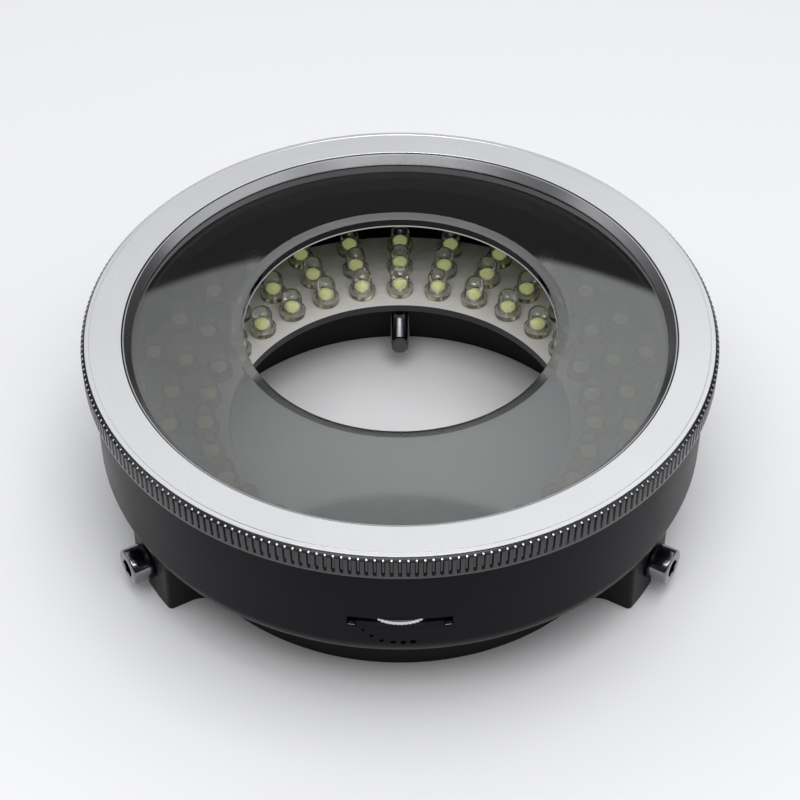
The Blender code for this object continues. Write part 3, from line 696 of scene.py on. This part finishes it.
def makeHousing():
    outer, inner, lip, bore = pick(housing, "outerR", "innerR", "lipR", "boreR")
    shell = turnPiece("housingShell", [
        (outer, housing["topZ"], 0.2), (outer, housing["bottomZ"], housing["edgeR"]),
        (bore, housing["bottomZ"], housing["boreEdge"]),
        (bore, housing["floorZ"], housing["boreEdge"]),
        (inner, housing["floorZ"], 0.3), (inner, housing["lipZ"], 0),
        (lip, housing["lipZ"], 0), (lip, housing["topZ"], 0.1),
    ], rounding=8)
    low, high = housing["slotLow"], housing["slotHigh"]
    slot = addBlock("slotCutter", (housing["slotWidth"], housing["slotDeep"], high - low),
                    (0, -outer + housing["slotInset"], (high + low) / 2), housing["slotEdge"])
    hole = addPeg("inletCutter", housing["inletR"], *housing["inletCut"], 64)
    cutAway(shell, slot, movePiece(hole, alongRadius(inlet["azimuth"], inlet["z"])))
    for across, height, radius in housing["dots"]:
        depth = math.sqrt(outer ** 2 - across ** 2)
        dot = addPeg(
            "dotCutter", radius, depth - housing["dotDepth"], depth + housing["dotClear"], 24)
        azimuth = math.degrees(math.atan2(-depth, across))
        cutAway(shell, movePiece(dot, alongRadius(azimuth, height)))
    smoothPiece(shell, 28)
    finishPiece(shell, blackAnodised, "light_body", "black_anodised", "housing_shell")


# collar: bored ring with three filleted bosses for the clamp screws

collar = {
    "boreR": 33.1, "outerR": 35.8, "height": 11.1, "reachR": 42.3, "bossWidth": 11.6,
    "filletR": 4.0, "cornerR": 0.6, "edge": 0.25, "screwZ": 5.55, "holeR": 1.6,
    "holeCut": (30, 46), "azimuths": {"back": 90.0, "left": 210.0, "right": 330.0},
    "faceSteps": 6, "filletSteps": 12, "wallSteps": 48,
}


def arcPoints(centre, radius, startDegrees, endDegrees, steps):
    points = []
    for step in range(steps + 1):
        angle = math.radians(startDegrees + (endDegrees - startDegrees) * step / steps)
        points.append(Vector(
            (centre[0] + radius * math.cos(angle), centre[1] + radius * math.sin(angle))))
    return points


def collarOutline():
    # one boss along +X and the wall up to the next one, turned to each boss's place
    half = collar["bossWidth"] / 2
    filletAcross = half + collar["filletR"]
    filletAlong = math.sqrt((collar["outerR"] + collar["filletR"]) ** 2 - filletAcross ** 2)
    towardAxis = math.degrees(math.atan2(-filletAcross, -filletAlong)) % 360
    cornerR = collar["cornerR"]
    cornerAcross = half - cornerR
    cornerAlong = math.sqrt((collar["reachR"] - cornerR) ** 2 - cornerAcross ** 2)
    cornerDegrees = math.degrees(math.atan2(cornerAcross, cornerAlong))
    steps = collar["faceSteps"]
    side = arcPoints((0, 0), collar["reachR"], 0, cornerDegrees, steps)[:-1]
    side += arcPoints((cornerAlong, cornerAcross), cornerR, cornerDegrees, 90, steps)
    side += arcPoints(
        (filletAlong, filletAcross), collar["filletR"], 270, towardAxis, collar["filletSteps"])
    wallDegrees = math.degrees(math.atan2(filletAcross, filletAlong))
    wall = arcPoints(
        (0, 0), collar["outerR"], wallDegrees, 120 - wallDegrees, collar["wallSteps"])[1:-1]
    lower = [Vector((point.x, -point.y)) for point in reversed(side[1:])]
    outline = []
    for azimuth in collar["azimuths"].values():
        turn = Matrix.Rotation(math.radians(azimuth), 2)
        outline += [turn @ point for point in lower + side + wall]
    return outline


def makeCollar():
    piece = drawLoop("mountCollar", [(point.x, point.y, 0) for point in collarOutline()])
    setMode("EDIT")
    bpy.ops.mesh.select_all(action="SELECT")
    bpy.ops.mesh.extrude_edges_move()
    setMode("OBJECT")
    for vertex in piece.data.vertices:  # the new loop is the one still selected
        if vertex.select:
            vertex.co = vertex.co.normalized() * collar["boreR"] * mm
    setMode("EDIT")
    tidyMesh(0.0001)
    if piece.data.polygons[0].normal.z < 0:
        piece.data.flip_normals()
    applyModifier(piece, "SOLIDIFY", thickness=collar["height"] * mm, offset=1.0)
    lowest = min(vertex.co.z for vertex in piece.data.vertices)
    movePiece(piece, Matrix.Translation((0, 0, -lowest)))
    bevelPiece(piece, collar["edge"], 50)
    for azimuth in collar["azimuths"].values():
        hole = addPeg("holeCutter", collar["holeR"], *collar["holeCut"])
        cutAway(piece, movePiece(hole, alongRadius(azimuth, collar["screwZ"])))
    smoothPiece(piece, 30)
    finishPiece(piece, blackCollar, "light_body", "black_collar", "mount_collar")


# board and LEDs: clear bulb with a flange, drop of phosphor on its base, and a second lead

board = {"outerR": 42.4, "boreR": 25.35, "lowZ": 12.5, "topZ": 13.7, "edge": 0.08}
leds = {
    "radii": {"Inner": 28.9, "Middle": 34.25, "Outer": 39.6}, "count": 30, "start": 90,
    "seatZ": 13.8, "bulbR": 1.6, "height": 4.75, "domeSteps": 8,
    "flangeR": 2.12, "flangeHeight": 1.0, "flangeStep": 0.08,
    "dropR": 0.95, "dropHalf": 0.95, "dropZ": 1.55, "dropSteps": 10,
    "leadBlocks": [((0.7, 0.5, 0.6), (0, 0, 0.35)), ((0.3, 0.4, 1.9), (1.12, 0, 1.05))],
    "leadEdge": 0.04,
}


def makeBoard():
    outer, bore, low, high, edge = pick(board, "outerR", "boreR", "lowZ", "topZ", "edge")
    piece = turnPiece("ledBoard", [
        (outer, high, edge), (outer, low, edge), (bore, low, edge), (bore, high, edge)])
    finishPiece(smoothPiece(piece), paleBoard, "light_body", "white_board", "led_board")


def makeBulb():
    bulbR, flangeR, flangeZ = leds["bulbR"], leds["flangeR"], leds["flangeHeight"]
    corners = [(0, 0, 0), (flangeR, 0, 0.1), (flangeR, flangeZ, 0.12),
               (bulbR, flangeZ + leds["flangeStep"], 0.06)]
    domeBase = leds["height"] - bulbR
    for step in range(leds["domeSteps"] + 1):
        angle = math.radians(90 * step / leds["domeSteps"])
        corners.append((bulbR * math.cos(angle), domeBase + bulbR * math.sin(angle), 0))
    return smoothPiece(turnPiece("bulbPattern", corners, 24, True, 2), 50, False)


def makeLeads():
    blocks = [addBlock("leadPattern", size, centre, leds["leadEdge"])
              for size, centre in leds["leadBlocks"]]
    return smoothPiece(joinPieces("leadPattern", blocks), 40)


def makePhosphor():
    middle, half = leds["dropZ"], leds["dropHalf"]
    corners = [(0, middle - half, 0)]
    for step in range(1, leds["dropSteps"]):
        angle = math.radians(-90 + 180 * step / leds["dropSteps"])
        corners.append((leds["dropR"] * math.cos(angle), middle + half * math.sin(angle), 0))
    corners.append((0, middle + half, 0))
    return smoothPiece(turnPiece("phosphorPattern", corners, 16, True), 60, False)


def ringOf(pattern, name, radius):
    copies = []
    for index in range(leds["count"]):
        azimuth = math.radians(leds["start"] + 360 / leds["count"] * index)
        place = roundAxis(azimuth, radius, leds["seatZ"]) @ Matrix.Rotation(azimuth, 4, "Z")
        copies.append(copyPiece(pattern, place))
    return joinPieces(name, copies)


def makeLeds():
    patterns = {
        "ledBulbs": (makeBulb(), clearResin), "ledLeads": (makeLeads(), plainMetal),
        "ledPhosphor": (makePhosphor(), phosphor),
    }
    for ringName, radius in leds["radii"].items():
        node = "led_ring_" + ringName.lower()
        for name, (pattern, material) in patterns.items():
            piece = ringOf(pattern, name + ringName, radius)
            finishPiece(piece, material, "light_body", "clear_led", node)
    dropPieces(*[pattern for pattern, material in patterns.values()])


# turning ring: knurled grip, bezel, retainer and crowned window

grip = {
    "outerR": 45.54, "recessR": 45.03, "wallR": 39.2, "skirtR": 42.05, "grooveR": 41.45,
    "carrierR": 37.6, "breakR": 45.19, "breakZ": 32.72, "sideZ": 32.42, "topZ": 32.85,
    "lowZ": 29.3, "recessZ": 31.35, "seatZ": 29.75, "skirtZ": 26.5,
    "grooveLow": 27.1, "grooveHigh": 27.9,
    "slots": 264, "slotDepth": 0.30, "slotHalf": 0.2, "slotFloorZ": 29.75, "slotStart": 0.2,
    "runOut": 0.4, "outerBand": 0.1, "stepsEach": 8,
    "endR": 45.32, "endZ": 32.58, "endSize": (0.30, 0.27, 0.14), "endEdge": 0.05, "endSlope": 32,
}
bezel = {
    "outerR": 44.98, "innerR": 39.75, "lowZ": 31.45, "topZ": 33.08, "drop": 0.03,
    "edge": 0.05, "innerEdge": 0.11,
    "lineR": 44.33, "lineHalf": 0.06, "lineDepth": 0.09, "lineStep": 0.02,
}
retainer = {
    "outerR": 39.62, "innerR": 38.5, "topZ": 32.92, "lowZ": 31.6, "lip": 0.15, "flat": 0.2,
}
window = {
    "outerR": 39.0, "rimTopZ": 31.45, "crownR": 219.0, "thickness": 1.5, "chamfer": 0.1,
    "rows": 12, "bevelR": 24.1, "bevelDrop": 0.28, "holeR": 22.6,
    "ledgeR": 22.5, "ledgeHeight": 0.2,
}


def makeGrip():
    outer, skirt, groove, carrier, wall, recess = pick(
        grip, "outerR", "skirtR", "grooveR", "carrierR", "wallR", "recessR")
    floorZ, seatZ = grip["slotFloorZ"], grip["seatZ"]
    ring = drawSection("knurledRing", roundCorners([
        (grip["breakR"], grip["breakZ"], 0), (outer, grip["sideZ"], 0.04),
        (outer, floorZ + grip["runOut"], 0), (outer, floorZ, 0),
        (outer, grip["lowZ"], 0.08), (skirt, grip["lowZ"], 0),
        (skirt, grip["grooveHigh"], 0), (groove, grip["grooveHigh"], 0),
        (groove, grip["grooveLow"], 0), (skirt, grip["grooveLow"], 0),
        (skirt, grip["skirtZ"], 0), (carrier, grip["skirtZ"], 0),
        (carrier, seatZ, 0), (wall, seatZ, 0), (wall, grip["recessZ"], 0),
        (recess, grip["recessZ"], 0), (recess, grip["topZ"], 0.03),
    ], 2))
    count = grip["slots"]
    pitch = math.tau / count
    spinAll(grip["stepsEach"], pitch)
    bpy.ops.mesh.select_all(action="DESELECT")
    setMode("OBJECT")
    vertices = ring.data.vertices
    middle = sum(math.atan2(vertex.co.y, vertex.co.x) for vertex in vertices) / len(vertices)
    movePiece(ring, Matrix.Rotation(-middle, 4, "Z"))
    for vertex in vertices:  # the groove's own points, in the middle of the pitch
        azimuth = abs(math.atan2(vertex.co.y, vertex.co.x))
        outside = vertex.co.xy.length > (outer - grip["outerBand"]) * mm
        above = vertex.co.z > (floorZ + grip["slotStart"]) * mm
        vertex.select = outside and above and azimuth < pitch * grip["slotHalf"]
    setMode("EDIT")
    bpy.ops.transform.translate(value=(-grip["slotDepth"] * mm, 0, 0))
    spinAll(count - 1, math.tau * (count - 1) / count, True)
    tidyMesh()
    smoothPiece(ring, 28)
    finishPiece(ring, blackKnurl, "polariser_ring", "black_anodised", "knurled_ring")
    # the upper end of each groove cuts through the finish to bright metal
    end = addBlock("grooveEnd", grip["endSize"], (0, 0, 0), grip["endEdge"])
    place = (Matrix.Translation((grip["endR"] * mm, 0, grip["endZ"] * mm))
             @ Matrix.Rotation(math.radians(grip["endSlope"]), 4, "Y"))
    ends = joinPieces("grooveEnds", [
        copyPiece(end, Matrix.Rotation(pitch * index, 4, "Z") @ place) for index in range(count)])
    dropPieces(end)
    finishPiece(smoothPiece(ends, 30), bareMetal, "polariser_ring", "silver_face", "knurled_ring")


def makeBezel():
    # flat face, a fine turned line, then a narrow band that falls a little to the rim
    line, half, step = bezel["lineR"], bezel["lineHalf"], bezel["lineStep"]
    outer, inner, low, top, edge = pick(bezel, "outerR", "innerR", "lowZ", "topZ", "edge")
    piece = turnPiece("bezelRing", [
        (line - half, top, step), (line, top - bezel["lineDepth"], 0),
        (line + half, top - step, step), (outer, top - bezel["drop"], edge),
        (outer, low, edge), (inner, low, edge), (inner, top, bezel["innerEdge"])])
    finishPiece(smoothPiece(piece), satinSilver, "polariser_ring", "silver_face", "bezel_ring")


def makeRetainer():
    outer, inner, top, low = pick(retainer, "outerR", "innerR", "topZ", "lowZ")
    piece = turnPiece("windowRetainer", [
        (outer, top, 0.05), (outer, low, 0), (inner, low, 0),
        (inner, low + retainer["lip"], 0.04), (outer - retainer["flat"], top, 0.07)])
    smoothPiece(piece, 24)
    finishPiece(piece, polishedRim, "polariser_ring", "polished_rim", "window_retainer")


def windowTop(radius):
    return window["rimTopZ"] + (window["outerR"] ** 2 - radius ** 2) / (2 * window["crownR"])


def makeWindow():
    # crowned plate with a shallow bevel round its central hole and a small ledge below
    hole, bevel, outer, ledge = pick(window, "holeR", "bevelR", "outerR", "ledgeR")
    chamfer, thickness, count = pick(window, "chamfer", "thickness", "rows")
    rows = [bevel + (outer - chamfer - bevel) * step / count for step in range(count + 1)]
    lowZ = windowTop(bevel) - thickness
    ledgeZ = lowZ + window["ledgeHeight"]
    corners = [(hole, windowTop(bevel) - window["bevelDrop"], 0.06)]
    corners += [(radius, windowTop(radius), 0) for radius in rows]
    corners += [(outer, windowTop(outer) - chamfer, 0),
                (outer, windowTop(outer) - thickness + chamfer, 0)]
    corners += [(radius, windowTop(radius) - thickness, 0) for radius in reversed(rows)]
    corners += [(ledge, lowZ, 0.03), (ledge, ledgeZ, 0.04), (hole, ledgeZ, 0)]
    piece = smoothPiece(turnPiece("polariserWindow", corners), 5)
    finishPiece(piece, smokedGlass, "polariser_ring", "smoked_glass", "polariser_window")


# clamp screws: socket-head screws with a helical thread and a soft tip

clamp = {
    "headLow": 42.5, "headHigh": 45.5, "headR": 2.75, "neck": 0.3, "headEdge": 0.32,
    "socketR": 1.4434, "socketDepth": 1.4, "socketClear": 1,
    "leadDepth": 0.12, "leadClear": 0.2, "leadShares": (0.86, 1.2),
    "shankR": 1.5, "rootR": 1.26, "pitch": 0.5, "endR": 25.35, "threadGap": 0.1,
    "turnSteps": 24, "coreInset": 0.02, "coreStart": 0.05,
    "tipHigh": 25.25, "tipLow": 24.5, "tipR": 1.35,
    "stemR": 0.75, "stemLength": 1.6, "stemGap": 0.1, "stemCut": 1,
}
clampSteel = {
    side: makeTurnedMetal(
        "brightSteel" + side.capitalize(), (0.24, 0.24, 0.26), (0.19, 0.19, 0.21), 0.08, 0.15,
        lineScale=5000.0, depth=0.0012, centre=(0.0, 0.0, collar["screwZ"]),
        turn=(0.0, math.pi / 2, math.radians(azimuth)))
    for side, azimuth in collar["azimuths"].items()
}


def makeThread(low, high):
    # one V of the thread, open at the root, turned and raised together
    root, pitch, steps = clamp["rootR"], clamp["pitch"], clamp["turnSteps"]
    thread = drawSection(
        "threadPattern", [(root, low), (clamp["shankR"], low + pitch / 2), (root, low + pitch)])
    almost = 0.8 * pitch * mm  # only the edge along the root is as long as this
    deleteEdges(thread, lambda first, second: abs(first.z - second.z) > almost)
    applyModifier(thread, "SCREW", axis="Z", angle=math.tau, screw_offset=pitch * mm,
                  iterations=int((high - low) / pitch) - 1, steps=steps, render_steps=steps,
                  use_merge_vertices=True, merge_threshold=0.00001, use_smooth_shade=True)
    setMode("EDIT")
    bpy.ops.mesh.select_mode(type="VERT")
    bpy.ops.mesh.select_all(action="DESELECT")
    bpy.ops.mesh.select_non_manifold()
    bpy.ops.mesh.fill()
    tidyMesh()
    return thread


def makeScrewHead():
    low, high, headR, shankR = pick(clamp, "headLow", "headHigh", "headR", "shankR")
    head = turnPiece("headPattern", [
        (0, low - clamp["neck"], 0), (shankR, low - clamp["neck"], 0), (shankR, low, 0),
        (headR, low, 0.15), (headR, high, clamp["headEdge"]), (0, high, 0)], 96, True, 4)
    socketR, leadLow, leadHigh = clamp["socketR"], *clamp["leadShares"]
    lead = addPeg("leadCutter", socketR * leadLow, high - clamp["leadDepth"],
                  high + clamp["leadClear"], topRadius=socketR * leadHigh)
    socket = addPeg("socketCutter", socketR, high - clamp["socketDepth"],
                    high + clamp["socketClear"], 6)
    return cutAway(head, lead, socket)


def makeTip():
    low, high, tipR, stemR = pick(clamp, "tipLow", "tipHigh", "tipR", "stemR")
    end = high + clamp["stemLength"]
    tip = turnPiece("clampTipPattern", [
        (0, low, 0), (tipR, low, 0.18), (tipR, high, 0.06), (stemR, high, 0), (stemR, end, 0.1),
        (0, end, 0)], 40, True)
    return smoothPiece(tip, 30)


def makeClamps():
    end, gap = clamp["endR"], clamp["stemGap"]
    thread = makeThread(end, clamp["headLow"] - clamp["threadGap"])
    core = addPeg("corePattern", clamp["rootR"] - clamp["coreInset"], end + clamp["coreStart"],
                  clamp["headLow"], 24)
    head = makeScrewHead()
    cutAway(core, addPeg("stemCutter", clamp["stemR"] + gap, end - clamp["stemCut"],
                         clamp["tipHigh"] + clamp["stemLength"] + gap, 24))
    screw = smoothPiece(joinPieces("clampScrewPattern", [head, thread, core]), 30)
    tip = makeTip()
    for side, azimuth in collar["azimuths"].items():
        place = alongRadius(azimuth, collar["screwZ"])
        screwCopy = copyPiece(screw, place, "clampScrew" + side.capitalize())
        node = "clamp_screw_" + side
        finishPiece(screwCopy, clampSteel[side], node, "steel", node)
        tipCopy = copyPiece(tip, place, "clampTip" + side.capitalize())
        node = "clamp_tip_" + side
        finishPiece(tipCopy, tipPlastic, node, "soft_tip", node)
    dropPieces(screw, tip)


# dimmer: toothed thumb wheel, and the plate under it with two bright tabs

wheel = {
    "centreY": -38.4, "radius": 6.41, "lowZ": 19.25, "topZ": 19.85, "edge": 0.07,
    "stubR": 1.0, "stubTop": 21.45, "teeth": 72, "stepsEach": 4, "toothDepth": 0.07,
    "toothBand": 0.1,
}
plate = {
    "width": 11.7, "lowZ": 18.152, "topZ": 19.2, "frontR": 44.38, "backR": 42.8,
    "limit": (8, 4), "tab": (0.95, 0.5, 0.12), "tabEdge": 0.03, "tabAcross": 6.45,
    "tabInset": 0.35, "tabRise": 0.07,
}
wheelSilver = makeTurnedMetal(
    "wheelSilver", (0.72, 0.72, 0.73), (0.60, 0.60, 0.61), 0.20, 0.30,
    centre=(0.0, wheel["centreY"], 0.0))


def makeWheel():
    radius, low, top, edge, stubR, stubTop = pick(
        wheel, "radius", "lowZ", "topZ", "edge", "stubR", "stubTop")
    each = wheel["stepsEach"]
    sides = wheel["teeth"] * each
    piece = turnPiece("dimmerWheel", [
        (0, low, 0), (radius, low, edge), (radius, top, edge), (stubR, top, 0),
        (stubR, stubTop, 0.1), (0, stubTop, 0)], sides, True)
    pull = 1 - wheel["toothDepth"] / radius
    for vertex in piece.data.vertices:
        step = round(math.atan2(vertex.co.y, vertex.co.x) / math.tau * sides) % each
        if step == 0 and vertex.co.xy.length > (radius - wheel["toothBand"]) * mm:
            vertex.co.x *= pull
            vertex.co.y *= pull
    movePiece(piece, Matrix.Translation((0, wheel["centreY"] * mm, 0)))
    smoothPiece(piece, 30)
    finishPiece(piece, wheelSilver, "dimmer_wheel", "dimmer_metal", "dimmer_wheel")


def makePlate():
    # its face follows the wall; a bright tab shows at each end of the slot
    front, back, low, top = pick(plate, "frontR", "backR", "lowZ", "topZ")
    ring = turnPiece("dimmerPlate", [
        (front, top, 0.06), (front, low, 0), (back, low, 0), (back, top, 0)], 512)
    block = addBlock("plateLimit", (plate["width"], *plate["limit"]), (0, -front, (low + top) / 2))
    cutAway(ring, block, operation="INTERSECT")
    smoothPiece(ring, 40)
    finishPiece(ring, blackAnodised, "light_body", "black_plastic", "dimmer_plate")
    tabs = []
    for across in (-plate["tabAcross"], plate["tabAcross"]):
        depth = math.sqrt(front ** 2 - across ** 2) - plate["tabInset"]
        tab = addBlock("plateTab", plate["tab"], (0, 0, 0), plate["tabEdge"])
        place = Matrix.Translation((across * mm, -depth * mm, (low + plate["tabRise"]) * mm))
        tabs.append(movePiece(tab, place @ Matrix.Rotation(math.atan2(across, depth), 4, "Z")))
    piece = smoothPiece(joinPieces("plateTabs", tabs), 40)
    finishPiece(piece, plainMetal, "light_body", "dimmer_metal", "dimmer_plate")


# power inlet and its pin

inlet = {
    "azimuth": 30.0, "z": 22.998, "radius": 3.1, "mouth": 44.1, "end": 35.5,
    "boreR": 1.89, "boreEnd": 37.1, "mouthDepth": 0.35, "mouthWidth": 0.3,
    "pinR": 0.65, "pinHigh": 42.7, "pinGap": 0.1,
}


def makeInlet():
    place = alongRadius(inlet["azimuth"], inlet["z"])
    outer, bore, mouth, end, boreEnd, pinR, pinHigh = pick(
        inlet, "radius", "boreR", "mouth", "end", "boreEnd", "pinR", "pinHigh")
    sleeve = pinR + inlet["pinGap"]
    body = turnPiece("powerSocket", [
        (outer, mouth, 0.15), (outer, end, 0.2), (sleeve, end, 0), (sleeve, boreEnd, 0),
        (bore, boreEnd, 0.1), (bore, mouth - inlet["mouthDepth"], 0),
        (bore + inlet["mouthWidth"], mouth, 0.06)], 64)
    smoothPiece(movePiece(body, place), 30)
    finishPiece(body, mouldedBlack, "light_body", "black_plastic", "power_socket")
    pin = turnPiece("powerSocketPin", [
        (0, pinHigh, 0), (pinR, pinHigh, 0.35), (pinR, end, 0), (0, end, 0)], 32, True, 5)
    smoothPiece(movePiece(pin, place), 40)
    finishPiece(pin, plainMetal, "light_body", "dimmer_metal", "power_socket_pin")


# board screws, seen from below: pan heads with a cross recess

boardScrew = {
    "azimuths": {"front": 270.0, "left": 150.0, "right": 30.0}, "seatR": 37.8,
    "headR": 1.4, "headLow": 10.1, "headHigh": 11.1, "domeEdge": 0.55, "shankR": 0.8,
    "endZ": 13.34, "cross": 0.34, "crossReach": 1.5, "crossDepth": 0.5, "turnShare": 1.7,
}


def makeBoardScrews():
    low, high, headR, shankR, end = pick(
        boardScrew, "headLow", "headHigh", "headR", "shankR", "endZ")
    pattern = turnPiece("boardScrewPattern", [
        (0, low, 0), (headR, low, boardScrew["domeEdge"]), (headR, high, 0.08),
        (shankR, high, 0), (shankR, end, 0.1), (0, end, 0)], 48, True, 5)
    reach, width, depth = boardScrew["crossReach"], boardScrew["cross"], boardScrew["crossDepth"]
    for size in ((reach, width), (width, reach)):
        cutAway(pattern, addBlock("crossCutter", (*size, depth * 2), (0, 0, low)))
    smoothPiece(pattern, 30)
    for side, azimuth in boardScrew["azimuths"].items():
        angle = math.radians(azimuth)
        turn = Matrix.Rotation(angle * boardScrew["turnShare"], 4, "Z")
        place = roundAxis(angle, boardScrew["seatR"], 0) @ turn
        screw = copyPiece(pattern, place, "boardScrew" + side.capitalize())
        finishPiece(screw, plainMetal, "light_body", "steel", "board_screw_" + side)
    dropPieces(pattern)


makeHousing()
makeCollar()
print("housing and collar made")
makeBoard()
makeLeds()
print("board and LEDs made")
makeGrip()
makeBezel()
makeRetainer()
makeWindow()
print("turning ring made")
makeClamps()
makeWheel()
makePlate()
makeInlet()
makeBoardScrews()
print("clamps, dimmer, inlet and screws made")

# the solids whose own shape is right take a better material

carriedOver = {
    "glide_ring": glidePlastic, "snap_ring": springWire, "dimmer_potentiometer": mouldedBlack,
    "dimmer_board": greenBoard,
    **{"base_screw_" + side: plainMetal for side in collar["azimuths"]},
}
for nodeName, material in carriedOver.items():
    for materialSlot in nodes[nodeName].material_slots:
        materialSlot.material = material
